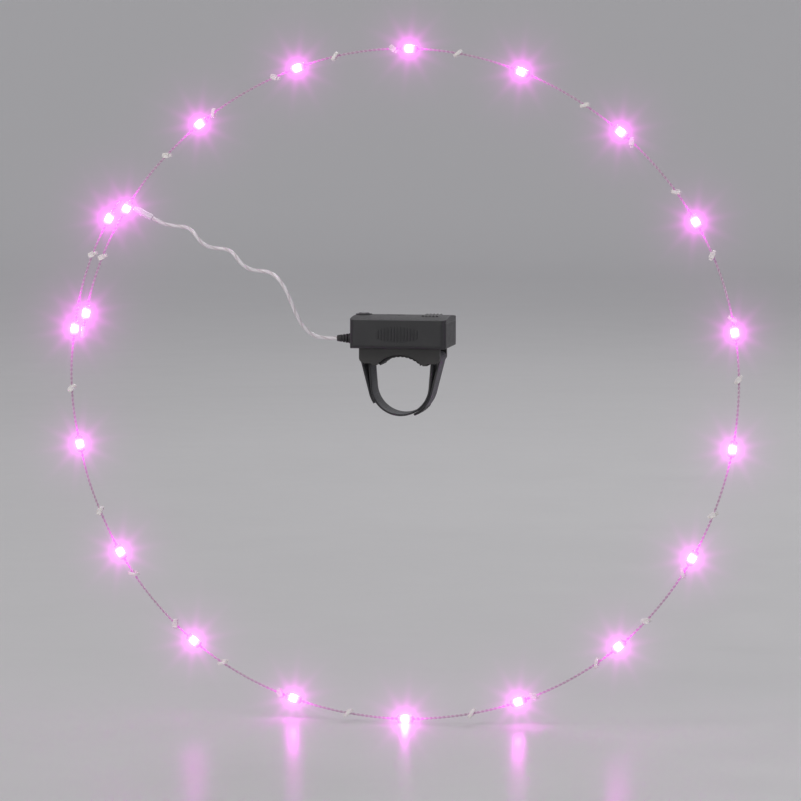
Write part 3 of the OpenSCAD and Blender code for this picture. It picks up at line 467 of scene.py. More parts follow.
STRAIGHT = (CAPSULE_L / 2 + LIGHT_PAST) * DEG  # half the straight stretch at a light
led_angle = FIRST_LED + LED_STEP * np.arange(LEDS)
print(LEDS, "lights,", round(LED_STEP, 2), "degrees apart")


# %% Weave of the ring
def ring_radius(a):
    """Mean radius, less the creep inwards, plus a few gentle waves a turn."""
    middle = (led_angle[0] + led_angle[-1]) / 2
    return RING_R + RING_STEP * (middle - a) / 360 + RING_SWAY * np.sin(np.radians(SWAY_WAVES * a))


def against(k, a):
    """Place along the axle where the string lies against spoke k."""
    return spoke_at(k, ring_radius(a))[..., 1] - spoke(k)[1] * ((WIRE_D + SPOKE_D) / 2 + TOUCH)


def weave(a):
    """Eased change from one spoke's side to the next one's."""
    k, r = np.floor((a - LEAD_SPOKE) / SPOKE_STEP).astype(int), ring_radius(a)
    first, last = crossing_angle(k, r), crossing_angle(k + 1, r)
    return against(k, a) + (against(k + 1, a) - against(k, a)) * ease((a - first) / (last - first))


def led_shift(a):
    """Extra step that keeps a light's capsule clear of a spoke beside it."""
    k, r = np.round((a - LEAD_SPOKE) / SPOKE_STEP).astype(int), ring_radius(a)
    near = np.radians(np.abs(a - crossing_angle(k, r))) * r < CAPSULE_L / 2 + SPOKE_D
    return np.where(near, -spoke(k)[1] * ((CAPSULE_D - WIRE_D) / 2 + TIE_GAP), 0.0)


def ring_point(a):
    """Point of the string's ring at angle a: level along a light, eased from its side step beyond it."""
    i = np.clip(np.round((a - FIRST_LED) / LED_STEP).astype(int), 0, LEDS - 1)
    off, shift = np.abs(a - led_angle[i]), led_shift(led_angle[i])
    at_light = weave(led_angle[i]) + shift
    between = weave(a) + shift * ease(1 - (off - STRAIGHT) / SHIFT_RAMP)
    return polar(a, ring_radius(a), np.where(off < STRAIGHT + ANGLE_SLACK, at_light, between))


# %% Route of the ring
mid_step = (LED_STEP - 2 * STRAIGHT) / (MIDS + 1)
stops = np.concatenate([[-STRAIGHT], STRAIGHT + mid_step * np.arange(MIDS + 1)])
ring_angles = (led_angle[:, None] + stops).ravel()[:-MIDS]
ring_angles = np.append(ring_angles, ring_angles[-1] + TAIL_L * DEG)
ring_path = ring_point(ring_angles)
light_ends = ring_point(led_angle - STRAIGHT), ring_point(led_angle + STRAIGHT)
light_at = (light_ends[0] + light_ends[1]) / 2
print("ring of", len(ring_path), "points")

# %% [markdown]
# ## The lead's route
# The lead leaves the pack straight, bends over to its spoke, winds round it two and a half times and ends
# beside it in a splice, where the string begins. The winding is a helix about the spoke. Its turn gathers
# speed over a short stretch while its radius shrinks from the splice's to the spoke's.

# %% Lead and splice
LEAD_D, LEAD_PITCH, LEAD_TURNS = 2.8, 36.0, 2.5
SPLICE_WALL, SPLICE_L, SPLICE_AT = 0.8, 16.0, 29.0  # SPLICE_AT is counted from the spoke's outer end
WIND_EASE, WIND_RINGS = 12.0, 12  # way over which the turn gathers speed, points in a turn
LEAD_REACH, START_BEND, BEND_STEPS = 26.0, 11.0, 10  # handles and steps of the two free bends
SPLICE_D = LEAD_D + 2 * (BORE + SPLICE_WALL)
SPLICE_OFF = (SPOKE_D + SPLICE_D) / 2 + SEAT
SPLICE_END = SPLICE_AT + SPLICE_L
WIND_START = SPLICE_END + 2 * LEAD_D
WIND_END = WIND_START + WIND_EASE / 2 + LEAD_TURNS * LEAD_PITCH
WIND_R = (SPOKE_D + LEAD_D) / 2 + BORE
_, _, lead_outer, lead_inner = spoke(0)
lead_dir = unit(lead_inner - lead_outer)
lead_n1 = unit(np.array([lead_dir[2], 0, -lead_dir[0]]))
lead_n2 = np.cross(lead_dir, lead_n1)


def wound(u):
    """Point of the winding at distances u along the spoke from its outer end: a helix whose turn grows as the
    square of the way at first and then evenly, while its radius eases from the splice's to the lead's own."""
    u = np.asarray(u, float)[:, None]
    v = np.maximum(0, u - WIND_START)
    turn = 2 * np.pi / LEAD_PITCH * np.where(v < WIND_EASE, v * v / (2 * WIND_EASE), v - WIND_EASE / 2)
    r = SPLICE_OFF + (WIND_R - SPLICE_OFF) * ease((u - WIND_START) / WIND_EASE)
    return lead_outer + u * lead_dir + r * (np.cos(turn) * lead_n1 + np.sin(turn) * lead_n2)


def beside_spoke(u):
    """Point beside the spoke, at the splice's distance from it."""
    return lead_outer + np.multiply.outer(u, lead_dir) + SPLICE_OFF * lead_n1


def bend(p, q, r, s):
    """Inner points of a cubic curve with end points p and s and handles q and r."""
    t = (np.arange(1, BEND_STEPS) / BEND_STEPS)[:, None]
    return (1 - t) ** 3 * p + 3 * t * (1 - t) ** 2 * q + 3 * t * t * (1 - t) * r + t ** 3 * s


# %% Routes of lead and string
gland = box_of("cable_gland")
gland_tip = np.array([gland[0, 0], *gland[:, 1:].mean(0)])
inside_x = box_of("lead_cable")[1, 0], box_of("battery_box")[0, 0]
lead_out = gland_tip - 3 * LEAD_D * ALONG
wind_exit, before_exit = wound([WIND_END, WIND_END - 1])
exit_handle = wind_exit + LEAD_REACH * unit(wind_exit - before_exit)
wind_u = np.linspace(WIND_END, WIND_START, int(LEAD_TURNS * WIND_RINGS) + 1)[:-1]
splice_middle = SPLICE_END - SPLICE_L / 2
lead_points = np.vstack([
    xyz(inside_x, *gland_tip[1:]), gland_tip, lead_out,
    bend(lead_out, lead_out - LEAD_REACH * ALONG, exit_handle, wind_exit),
    wound(wind_u), beside_spoke([WIND_START, SPLICE_END + LEAD_D, splice_middle + TOUCH])])
string_out = beside_spoke(SPLICE_AT - 2 * WIRE_D)
first_handle = ring_path[0] - START_BEND * unit(ring_path[1] - ring_path[0])
string_points = np.vstack([
    beside_spoke(splice_middle - TOUCH), string_out,
    bend(string_out, string_out - START_BEND * lead_dir, first_handle, ring_path[0]), ring_path])
for name, route in (("string", string_points), ("lead", lead_points)):
    print(name, round(arc_length(route)[-1], 1), "mm long")

# %% [markdown]
# ## The string's wire
# Such strings are two thin strands of clear vinyl over fine tinned copper, twisted together. A single round
# tube would catch the light as one dull line, so each strand is its own tube on a helix round the string's
# route, and the highlights break up as they do on the real wire. Near each light the vinyl has a painted glow:
# the light that falls on it is painted on as emission, so the mesh stores a glow that fades with the distance
# from a light.

# %% Clear vinyl
MAGENTA, DEEP_MAGENTA, HOT_PINK = (1.0, 0.012, 0.94), (0.7, 0.003, 0.66), (1.0, 0.075, 0.96)
WIRE_TWIST, LEAD_TWIST = 6.5, 22.0


def clear_vinyl(name, cloudy, clear, core, core_shows, twist, strands, glow=None):
    """Milky clear vinyl. The cores inside show faintly as bands that wind round with the twist. Where the
    mesh has a glow, the vinyl shines by it: a painted glow that stands in for the light the nearby capsules
    cast on it."""
    f = Finish(name, IOR=1.53, Coat_Weight=0.35, Coat_Roughness=0.08, Subsurface_Weight=0.12,
               Subsurface_Radius=(0.9, 0.8, 0.85), Subsurface_Scale=0.001, Emission_Color=MAGENTA + (1,))
    at = f.along()
    wind = f.math("SUBTRACT", f.axis(at, "Y"), f.math("DIVIDE", f.axis(at, "X"), twist))
    band = f.math("SINE", f.math("MULTIPLY", wind, 2 * np.pi * strands))
    jacket = f.between(f.streak((0.05, 3, 1), 3.0), cloudy, clear)
    haze = f.streak((0.6, 6, 1), 2.0)
    lit = {"Emission_Strength": f.math("MULTIPLY", f.value("glow"), glow)} if glow else {}
    return f.set(Base_Color=f.mix(f.between(band, 0.0, core_shows, 0.25, 0.95), jacket, core),
                 Roughness=f.between(haze, 0.14, 0.34, high=0.75), Normal=f.bump(haze, 0.25, 0.0002), **lit)


wire_vinyl = clear_vinyl("clear_vinyl_on_tinned_copper", cloudy=(0.47, 0.40, 0.43), clear=(0.58, 0.51, 0.545),
                         core=(0.33, 0.24, 0.23), core_shows=0.4, twist=WIRE_TWIST / 2, strands=1, glow=1.5)
lead_vinyl = clear_vinyl("milky_lead_vinyl", cloudy=(0.70, 0.665, 0.685), clear=(0.84, 0.815, 0.83),
                         core=(0.46, 0.37, 0.39), core_shows=0.5, twist=LEAD_TWIST, strands=2)

# %% String wire
STRAND_R, STRAND_SIDES = 0.45, 7
LIT_REACH, FAINT_REACH, FAINT = 5.0, 20.0, 0.18  # how far most of the glow reaches, and the faint rest
string_curve = even(smooth_path(string_points, steps=24), step=0.55)
string_s = arc_length(string_curve)
# Painted glow: the light of the nearby capsules on the wire, painted on as emission that fades past each
# light.
from_light = np.linalg.norm(string_curve[:, None] - light_at, axis=-1).min(1)
past_light = np.maximum(from_light - CAPSULE_L / 2, 0)[:, None]
painted_wire_glow = (1 - FAINT) * np.exp(-past_light / LIT_REACH) + FAINT * np.exp(-past_light / FAINT_REACH)
wire = Shape()
for start in (0, np.pi):
    turn = 2 * np.pi * string_s / WIRE_TWIST + start
    middle = (WIRE_D / 2 - STRAND_R) * np.stack([np.cos(turn), np.sin(turn)], -1)
    wire.tube(string_curve, middle[:, None] + circle(STRAND_R, STRAND_SIDES), glow=painted_wire_glow)
wire.piece("twisted_string_wire", [wire_vinyl], slot="wire_jacket", stands_for=["string_wire"])

# %% [markdown]
# ## The lead
# The lead is one thicker jacket of milky vinyl over two twisted cores. The jacket shrinks onto the cores when
# it is extruded, so it isn't quite round: its radius dips twice in a turn, and the dips wind along it.

# %% Lead jacket
LEAD_DIP, LEAD_SIDES = 0.075, 18
lead_curve = even(smooth_path(lead_points, steps=16), step=0.7)
lead_turn = 2 * np.pi * arc_length(lead_curve)[:, None] / LEAD_TWIST
lead_r = LEAD_D / 2 - LEAD_DIP * (1 - np.cos(2 * (turn_angles(LEAD_SIDES) - lead_turn)))
Shape().tube(lead_curve, lead_r[..., None] * circle(1.0, LEAD_SIDES)).piece(
    "lead_jacket", [lead_vinyl], slot="lead_jacket", stands_for=["lead_cable"])

# %% [markdown]
# ## The lights
# Each light is a chip soldered to the wire, cast into a small capsule of clear resin. Lit, the resin over the
# chip is white-hot to the eye, and only its ends show the magenta. Glass with a lamp inside would be slow and
# full of specks, so the mesh carries a glow value, strongest over the chip on the side that faces out, and
# the finish turns it into colour and strength. The capsule is a lathe form with a bore for the wire and a
# moulded groove near each end.

# %% Lit resin
resin = Finish("lit_magenta_resin", IOR=1.5, Coat_Weight=0.7, Coat_Roughness=0.04)
shine = resin.value("glow")
resin.set(Base_Color=resin.between(shine, (0.80, 0.30, 0.78), (1.0, 0.62, 0.98), 0.0, 0.6),
          Roughness=resin.between(resin.cloud(700.0, detail=2.0), 0.05, 0.16, high=0.75),
          Emission_Color=resin.ramp(shine, (0.0, DEEP_MAGENTA), (0.9, HOT_PINK), (0.3, MAGENTA)),
          Emission_Strength=resin.math(
              "ADD", resin.math("MULTIPLY", resin.math("POWER", shine, 1.4), 70.0), 2.0))
chip = Finish("lit_chip", Roughness=0.3, Emission_Color=(1.0, 0.86, 0.97, 1))
phosphor = chip.cloud(3000.0)
dress(chip.set(Base_Color=chip.between(phosphor, (0.9, 0.8, 0.5), (1.0, 0.93, 0.7)),
               Emission_Strength=chip.math("MULTIPLY", phosphor, 60.0)), "led_chips")

# %% Capsules
CAPSULE_ROUND, CAPSULE_SIDES = 1.6, 24
GROOVE_X, GROOVE_DEEP, GROOVE_W = 3.9, 0.16, 0.24
GLOW_L, BACK_LOSS = 2.9, 0.38  # reach of the glow along the capsule, what is lost towards the back
capsule_r, capsule_half, wire_bore = CAPSULE_D / 2, CAPSULE_L / 2, WIRE_D / 2 + BORE
side_end, corner_r = capsule_half - CAPSULE_ROUND, capsule_r - CAPSULE_ROUND
corner = arc((side_end, corner_r), CAPSULE_ROUND, 0, 90, points=8)[:-1]
side_x = np.linspace(side_end, 0, 20)
side_r = capsule_r - GROOVE_DEEP * np.exp(-((side_x - GROOVE_X) / GROOVE_W) ** 2)
half = np.vstack([[capsule_half - BORE, wire_bore], corner, np.stack([side_x, side_r], -1)])
capsule_outline = np.vstack([half, half[-2::-1] * [-1, 1]])
facing_back = np.cos(turn_angles(CAPSULE_SIDES))
capsule_glow = np.exp(-(capsule_outline[:, :1] / GLOW_L) ** 2) * (1 - BACK_LOSS * (1 + facing_back))
for i, (p, q) in enumerate(zip(*light_ends)):
    place = laid(light_at[i], np.degrees(np.arctan2(q[2] - p[2], q[0] - p[0])))
    Shape().lathe(capsule_outline, place, CAPSULE_SIDES, wrap=True, glow=capsule_glow).piece(
        f"resin_capsule_{i + 1:02d}", [resin.material], slot="capsule_clear",
        stands_for=[f"led_capsule_{i + 1:02d}"])

# %% [markdown]
# ## The ties
# A nylon tie goes slantwise over each crossing of wire and spoke that no light covers. Its band is ribbed on
# the inside, runs back through its own head and is cut off just past it. The band is a rounded section
# carried round a closed loop, and the ribs are a sawtooth along the loop. The head is a stack of rounded
# rectangles that narrow towards both ends, which gives it the soft edges of a moulding.

# %% Nylon
nylon = Finish("natural_nylon", IOR=1.53, Subsurface_Weight=0.25, Subsurface_Radius=(1.0, 0.95, 0.85),
               Subsurface_Scale=0.001, Coat_Weight=0.15, Coat_Roughness=0.2)
milky = nylon.cloud(260.0)
nylon.set(Base_Color=nylon.between(milky, (0.72, 0.71, 0.665), (0.84, 0.83, 0.80)),
          Roughness=nylon.between(milky, 0.28, 0.48, high=0.75),
          Normal=nylon.bump(nylon.cloud(2400.0), 0.2, 0.0002))

# %% Where the ties sit
spoke_k = np.arange(2 * SPOKES + 1)
tie_angle = crossing_angle(spoke_k, ring_radius(LEAD_SPOKE + spoke_k * SPOKE_STEP))
from_led = np.abs(tie_angle[:, None] - led_angle).min(1) / DEG
tied = from_led > CAPSULE_L / 2 + TIE_REACH + SEAT
tied &= (tie_angle > led_angle[0]) & (tie_angle < led_angle[-1])
tie_k, tie_angle = spoke_k[tied], tie_angle[tied]
tie_at = read_at(tie_angle, ring_angles, ring_path)
tie_spoke_y = spoke_at(tie_k, np.hypot(tie_at[:, 0], tie_at[:, 2]))[:, 1] - tie_at[:, 1]
print(len(tie_k), "ties")

# %% Band, head and tail of a tie
TIE_BEND, TIE_EDGE, TIE_TAIL = 1.2, 0.28, 1.6
TOOTH, TOOTH_DEEP, TOOTH_STEPS = 0.75, 0.1, 4
HEAD_L, HEAD_W, HEAD_H = 4.4, 3.8, 2.4
HEAD_ROUND, HEAD_LEAST_ROUND, HEAD_DISH = 0.5, 0.15, 0.25
HEAD_EDGE = np.array([[0.0, -0.4], [0.08, -0.16], [0.3, 0.0]])  # steps and insets of its soft edge
TAIL_IN, TAIL_RINGS, TAIL_STEPS = 1.0, 9, 3
band_x, band_y = round_rect(TIE_W, TIE_T, TIE_EDGE, points=3).T


def sawtooth(n, steps):
    """n heights that climb to a tooth's depth and drop again, over and over."""
    return TOOTH_DEEP * (np.arange(n) % steps)[:, None] / (steps - 1)


def band_on(line, out, lift):
    """The band's section set on a line in the tie's own YZ plane, each of its points lifted outwards."""
    y, z = (line[:, i:i + 1] + lift * out[:, i:i + 1] for i in (0, 1))
    return xyz(band_x, y, z)


def tie_band(lo, hi):
    """The closed loop, with teeth on its inner side."""
    line = round_rect(hi - lo + TIE_T, 2 * TIE_IN + TIE_T, TIE_BEND + TIE_T / 2, points=9)
    loop = even(np.vstack([line, line[:1]]) + [(lo + hi) / 2, 0], TOOTH / TOOTH_STEPS)[:-1]
    t = unit(np.roll(loop, -1, 0) - np.roll(loop, 1, 0))
    lift = np.where(band_y < 0, band_y + sawtooth(len(loop), TOOTH_STEPS), band_y)
    return band_on(loop, np.stack([t[:, 1], -t[:, 0]], -1), lift)


def tie_head(seat, way):
    """The head from its seat outwards: rounded rectangles that narrow at both ends by the steps and insets of
    HEAD_EDGE, then dip into a shallow dish on top."""
    height = HEAD_H + TIE_T / 2
    dish = [height - HEAD_DISH, 2 * HEAD_EDGE[0, 1]]
    step, inset = np.vstack([HEAD_EDGE, [height, 0] + HEAD_EDGE[::-1] * [-1, 1], dish]).T
    rings = [round_rect(HEAD_W + 2 * g, HEAD_L + 2 * g, max(HEAD_ROUND + g, HEAD_LEAST_ROUND), points=4)
             for g in inset]
    x, z = np.moveaxis(rings, -1, 0)
    return xyz(x, (seat + way * step)[:, None], z)


def tie_tail(seat, way):
    """The cut end past the head, with teeth on its outer side."""
    z = np.linspace(HEAD_L / 2 - TAIL_IN, HEAD_L / 2 + TIE_TAIL, TAIL_RINGS)
    line = np.stack([np.full(TAIL_RINGS, seat + way * (TIE_T + HEAD_H) / 2), z], -1)
    lift = np.where(band_y > 0, band_y - sawtooth(TAIL_RINGS, TAIL_STEPS), band_y)
    return band_on(line, np.tile([way, 0], (TAIL_RINGS, 1)), lift)


# %% Ties
ties = Shape()
for k, a, p, y in zip(tie_k, tie_angle, tie_at, tie_spoke_y):
    place = laid(p, a + 90 + 45 * spoke(k)[1])
    lo = min(-WIRE_D / 2 - SEAT, y - SPOKE_D / 2 - TIE_GAP)
    hi = max(WIRE_D / 2 + SEAT, y + SPOKE_D / 2 + TIE_GAP)
    way, seat = (1, hi + TIE_T / 2) if y < 0 else (-1, lo - TIE_T / 2)
    ties.grid(put(place, tie_band(lo, hi)), wrap=True)
    ties.grid(put(place, tie_head(seat, way)))
    ties.grid(put(place, tie_tail(seat, way)))
ties.piece("nylon_ties", [nylon.material], slot="tie_nylon", stands_for=["spoke_ties"], smooth_up_to=35)

# %% [markdown]
# ## Splice and end seal
# Both are shrink tube. Warmed over the joint, it pulls down onto what is inside and keeps fine ripples where
# it shrank unevenly. Each is a lathe form: an outer line with small waves, a rolled edge, and a bore back to
# the start. A Displace modifier could ripple a plain tube, but it would ripple the bore too.

# %% Shrink tube
shrink = Finish("clear_shrink_tube", IOR=1.5, Coat_Weight=0.4, Coat_Roughness=0.12, Subsurface_Weight=0.15,
                Subsurface_Radius=(1.0, 1.0, 1.0), Subsurface_Scale=0.001)
drawn = shrink.streak((0.35, 9, 1), 2.5)
shrink.set(Base_Color=shrink.between(drawn, (0.62, 0.61, 0.63), (0.80, 0.79, 0.81)),
           Roughness=shrink.between(drawn, 0.16, 0.38), Normal=shrink.bump(drawn, 0.2, 0.0001))

# %% Splice sleeve and end seal
EDGE, RIPPLE, RIPPLE_PITCH = 0.25, 0.045, 1.9
SEAL_R, SEAL_L, SEAL_DEPTH, SEAL_ROUND, SEAL_TIP = 1.7, 9.0, 5.4, 0.8, 0.02


def rippled(x, r):
    """Outer line at distances x: the radius r, less a cosine wave that starts at nothing."""
    return np.stack([x, r - RIPPLE * (1 - np.cos(2 * np.pi * x / RIPPLE_PITCH)) / 2], -1)


lead_bore = LEAD_D / 2 + BORE
thin_r = wire_bore + SPLICE_WALL
x = np.linspace(EDGE, SPLICE_L - EDGE, 60)
outer = rippled(x, thin_r + (SPLICE_D / 2 - thin_r) * ease(x / (SPLICE_L / 4)))
sleeve_line = np.vstack([[0, wire_bore], [0, outer[0, 1] - EDGE], outer, [SPLICE_L, outer[-1, 1] - EDGE],
                         [SPLICE_L, lead_bore], [SPLICE_L / 2, lead_bore], [SPLICE_L / 2 - TOUCH, wire_bore]])
sleeve_place = beside_spoke(SPLICE_AT), lead_dir, lead_n1, lead_n2
Shape().lathe(sleeve_line, sleeve_place, sides=28, wrap=True).piece(
    "splice_shrink_tube", [shrink.material], slot="splice_shrink", stands_for=["splice_sleeve"])
outer = rippled(np.linspace(EDGE, SEAL_L - SEAL_ROUND, 36), SEAL_R)
dome = arc((SEAL_L - SEAL_ROUND, SEAL_R - SEAL_ROUND), SEAL_ROUND, 90, 5, points=8)[1:]
seal_line = np.vstack([[SEAL_DEPTH + TOUCH, SEAL_TIP], [SEAL_DEPTH + TOUCH, wire_bore], [0, wire_bore],
                       [0, SEAL_R - EDGE], outer, dome, [SEAL_L, SEAL_TIP]])
tail_way = unit(ring_path[-1] - ring_path[-2])
seal_place = along_way(ring_path[-1] - SEAL_DEPTH * tail_way, tail_way)
Shape().lathe(seal_line, seal_place, sides=24).piece(
    "end_seal_cap", [shrink.material], slot="seal_clear", stands_for=["end_seal"])

# %% [markdown]
# ## The strap
# The strap is one band of black webbing. It goes from its hook end over a bar, under the hub, over the other
# bar and back to its sewn end. The route is made of arcs: round the hub, and round each bar. The weave is in
# the mesh, because a bump alone would leave the band flat where it is seen edge on. The edges are woven
# round and smooth.

# %% Webbing
webbing = Finish("black_webbing", Sheen_Weight=0.35, Sheen_Roughness=0.45, Sheen_Tint=(0.6, 0.6, 0.66, 1))
yarn, fuzz = webbing.streak((2.2, 160, 1), 1.0), webbing.cloud(1800.0)
dyed = webbing.between(yarn, (0.010, 0.010, 0.011), (0.030, 0.030, 0.033))
worn = webbing.between(webbing.cloud(60.0), 0.0, 0.5, 0.45, 0.75)
webbing.set(Base_Color=webbing.mix(worn, dyed, (0.06, 0.058, 0.056)),
            Roughness=webbing.between(fuzz, 0.62, 0.9),
            Normal=webbing.bump(fuzz, 0.5, 0.0003, webbing.bump(yarn, 0.5, 0.0002)))

# %% Strap route
HUB_R, STRAP_W, STRAP_T = 21.0, 25.0, 1.6
BAR_X, BAR_Z, BAR_D = 26.5, 20.5, 4.0
HOOK_END, SEWN_END, ARC_STEP = 62.0, 34.0, 1.5  # degrees below level at each end, degrees between points
PLY_1 = HUB_R + STRAP_T / 2
PLY_2 = PLY_1 + STRAP_T + BORE
WRAP_R = BAR_D / 2 + TIE_GAP + STRAP_T / 2
bar_dist, bar_angle = np.hypot(BAR_X, BAR_Z), np.degrees(np.arctan2(BAR_Z, BAR_X))
leave = bar_angle - np.degrees(np.arccos((PLY_1 + WRAP_R) / bar_dist))
back = bar_angle - np.degrees(np.arccos((PLY_2 - WRAP_R) / bar_dist))


def strap_arc(centre, r, first, last):
    """Part of the band's route: an arc in the ring's plane."""
    x, z = arc(centre, r, first, last, points=int(abs(last - first) / ARC_STEP) + 2).T
    return xyz(x, 0.0, z)


def strap_side(end):
    """The band from one of its ends up to the bar and over it."""
    over_bar = strap_arc((BAR_X, BAR_Z), WRAP_R, back, leave + 180)
    return np.vstack([strap_arc((0, 0), PLY_2, -end, back), over_bar[1:]])


under_hub = strap_arc((0, 0), PLY_1, leave, -180 - leave)[1:-1]
strap_line = np.vstack([strap_side(HOOK_END), under_hub, strap_side(SEWN_END)[::-1] * [-1, 1, 1]])
strap_curve = even(strap_line, step=0.45)
strap_s = arc_length(strap_curve)
print("strap", round(strap_s[-1], 1), "mm long")

# %% Strap
WARP, WEFT, WEAVE_DEEP, FACE_COLUMNS = 2.0, 1.8, 0.11, 49  # yarns across and along, relief, mesh columns
FACE_IN, SELVEDGE, SELVEDGE_FADE = 0.5, 0.9, 1.0  # where the face ends, and where its weave fades out
EDGE_H, EDGE_IN = np.array([0.45, 0.0, -0.45]), np.array([0.12, 0.0, 0.12])
across = np.linspace(-STRAP_W / 2 + FACE_IN, STRAP_W / 2 - FACE_IN, FACE_COLUMNS)
checker = np.cos(np.pi * strap_s / WEFT)[:, None] * np.cos(np.pi * across / WARP)
fade = np.clip((STRAP_W / 2 - SELVEDGE - np.abs(across)) / SELVEDGE_FADE, 0, 1)
face = STRAP_T / 2 - WEAVE_DEEP * (1 - checker * fade)
edge_h = np.tile(EDGE_H, (len(strap_s), 1))
edge_w = STRAP_W / 2 - EDGE_IN
strap_h = np.hstack([face, edge_h, -face[:, ::-1], -edge_h])
strap_w = np.concatenate([across, edge_w, across[::-1], -edge_w])
strap_ring = np.stack(np.broadcast_arrays(strap_h, strap_w), -1)
Shape().tube(strap_curve, strap_ring).piece(
    "webbing_strap", [webbing.material], slot="strap_webbing", stands_for=["hub_strap"], smooth_up_to=60)

# %% [markdown]
# ## Stitches and pull tab
# The strap's short end is sewn to itself with a box of stitches and a cross in it, and its long end has a
# moulded tab to pull it open by. Each stitch is a small closed spindle of a few faces, laid along its seam
# line on the band's outer face. The tab is a flat section carried along the band, with ribs for the finger.

# %% Thread
thread = Finish("grey_thread", Sheen_Weight=0.3, Sheen_Tint=(0.8, 0.8, 0.85, 1))
ply = thread.streak((3.0, 4, 1), 2.0)
thread.set(Base_Color=thread.between(ply, (0.07, 0.07, 0.075), (0.16, 0.16, 0.17)),
           Roughness=thread.between(ply, 0.5, 0.8), Normal=thread.bump(ply, 0.5, 0.0002))

# %% Stitches
STITCH, STITCH_R, STITCH_GAP, STITCH_SINK = 2.4, 0.3, 0.1, 0.02
SEAM_L, SEAM_W, SEAM_IN, SEWN_ROW = 15.0, 18.0, 3.0, -40  # SEWN_ROW is a row of the strap under the seam
SWELL = np.array([0.25, 0.8, 1.0, 0.8, 0.25])
strap_in = unit(np.cross(np.gradient(strap_curve, axis=0), AXLE))


def on_strap(s, w):
    """Point on the band's outer face at a length along it and a place across it."""
    at, inwards = (read_at(s, strap_s, v) for v in (strap_curve, strap_in))
    return at - (STRAP_T / 2 - STITCH_SINK) * inwards - np.multiply.outer(w, AXLE)


def stitches(shape, first, last):
    """A row of spindles between two (length, across) places: each swells to the thread's radius and closes
    again."""
    n = max(1, int(round(np.hypot(*np.subtract(last, first)) / STITCH)))
    ring = STITCH_R * SWELL[:, None, None] * circle(1.0, sides=6)
    for i in range(n):
        t = (i + np.linspace(STITCH_GAP, 1 - STITCH_GAP, len(SWELL))) / n
        s, w = (first[j] + (last[j] - first[j]) * t for j in (0, 1))
        shape.tube(on_strap(s, w), ring, side=strap_in[SEWN_ROW])


seam_0, seam_1 = strap_s[-1] - SEAM_IN - SEAM_L, strap_s[-1] - SEAM_IN
box = [(seam_0, -SEAM_W / 2), (seam_1, -SEAM_W / 2), (seam_1, SEAM_W / 2), (seam_0, SEAM_W / 2)]
seam = Shape()
for p, q in [(0, 1), (1, 2), (2, 3), (3, 0), (0, 2), (1, 3)]:
    stitches(seam, box[p], box[q])
seam.piece("strap_stitches", [thread.material], slot="strap_webbing")

# %% Soft rubber
rubber = Finish("soft_black_rubber", IOR=1.52, Specular_IOR_Level=0.35)
pores, chalk = rubber.cloud(2600.0), rubber.cloud(90.0)
clean = rubber.between(pores, (0.016, 0.016, 0.017), (0.03, 0.03, 0.032))
rubber.set(Base_Color=rubber.mix(rubber.between(chalk, 0.0, 0.5, 0.45, 0.8), clean, (0.085, 0.083, 0.08)),
           Roughness=rubber.between(chalk, 0.5, 0.78), Normal=rubber.bump(pores, 0.3, 0.0002))

# %% Pull tab
TAB_L, TAB_PAST, TAB_H, TAB_RINGS = 9.5, 1.1, 1.3, 66
TAB_SINK, TAB_FOOT, TAB_WIDER, TAB_CORNER = 0.15, 0.2, 0.4, 1.2
TAB_RIBS, TAB_RIB_H, RIB_FIRST, RIB_LAST = 5, 0.22, 0.8, 1.2  # the last two keep ribs off the tab's ends
TAB_ACROSS = np.array([-1, -0.985, -0.94, 0.94, 0.985, 1, 1, -1])
TAB_UP = np.array([0.3, 0.8, 1.0, 1.0, 0.8, 0.3, 0.0, 0.0])
tab_s = np.linspace(-TAB_PAST, TAB_L, TAB_RINGS)[:, None]
tab_path = polar(-HOOK_END + np.degrees(tab_s[:, 0] / PLY_2), PLY_2)
from_middle = (2 * tab_s - TAB_L + TAB_PAST) / (TAB_L + TAB_PAST)
soft = np.sqrt(np.clip(1 - from_middle ** 8, 0.02, 1))
ribbed = (tab_s > RIB_FIRST) & (tab_s < TAB_L - RIB_LAST)
ribs = TAB_RIB_H * np.maximum(0, np.cos(2 * np.pi * TAB_RIBS * tab_s / TAB_L)) * ribbed
seated = STRAP_T / 2 - TAB_SINK
top = seated + (TAB_H - seated - TAB_RIB_H) * soft + ribs
low = np.where(tab_s < 0, -STRAP_T / 2 + TOUCH, STRAP_T / 2 - TAB_FOOT)
half_w = STRAP_W / 2 + TAB_WIDER - TAB_CORNER * (1 - soft)
tab_ring = np.stack([-low - (top - low) * TAB_UP, half_w * TAB_ACROSS], -1)
Shape().tube(tab_path, tab_ring).piece(
    "strap_pull_tab", [rubber.material], slot="pad_rubber", smooth_up_to=50)

# %% [markdown]
# ## The saddle pad
# A strip of soft rubber between saddle and hub keeps the pack from turning. Its inner face has ribs along the
# axle. The section in the ring's plane is an outer arc and a ribbed inner arc, and it is carried along the
# axle. A Bevel modifier would round every rib as well, so a few insets in the formula ease the two ends.

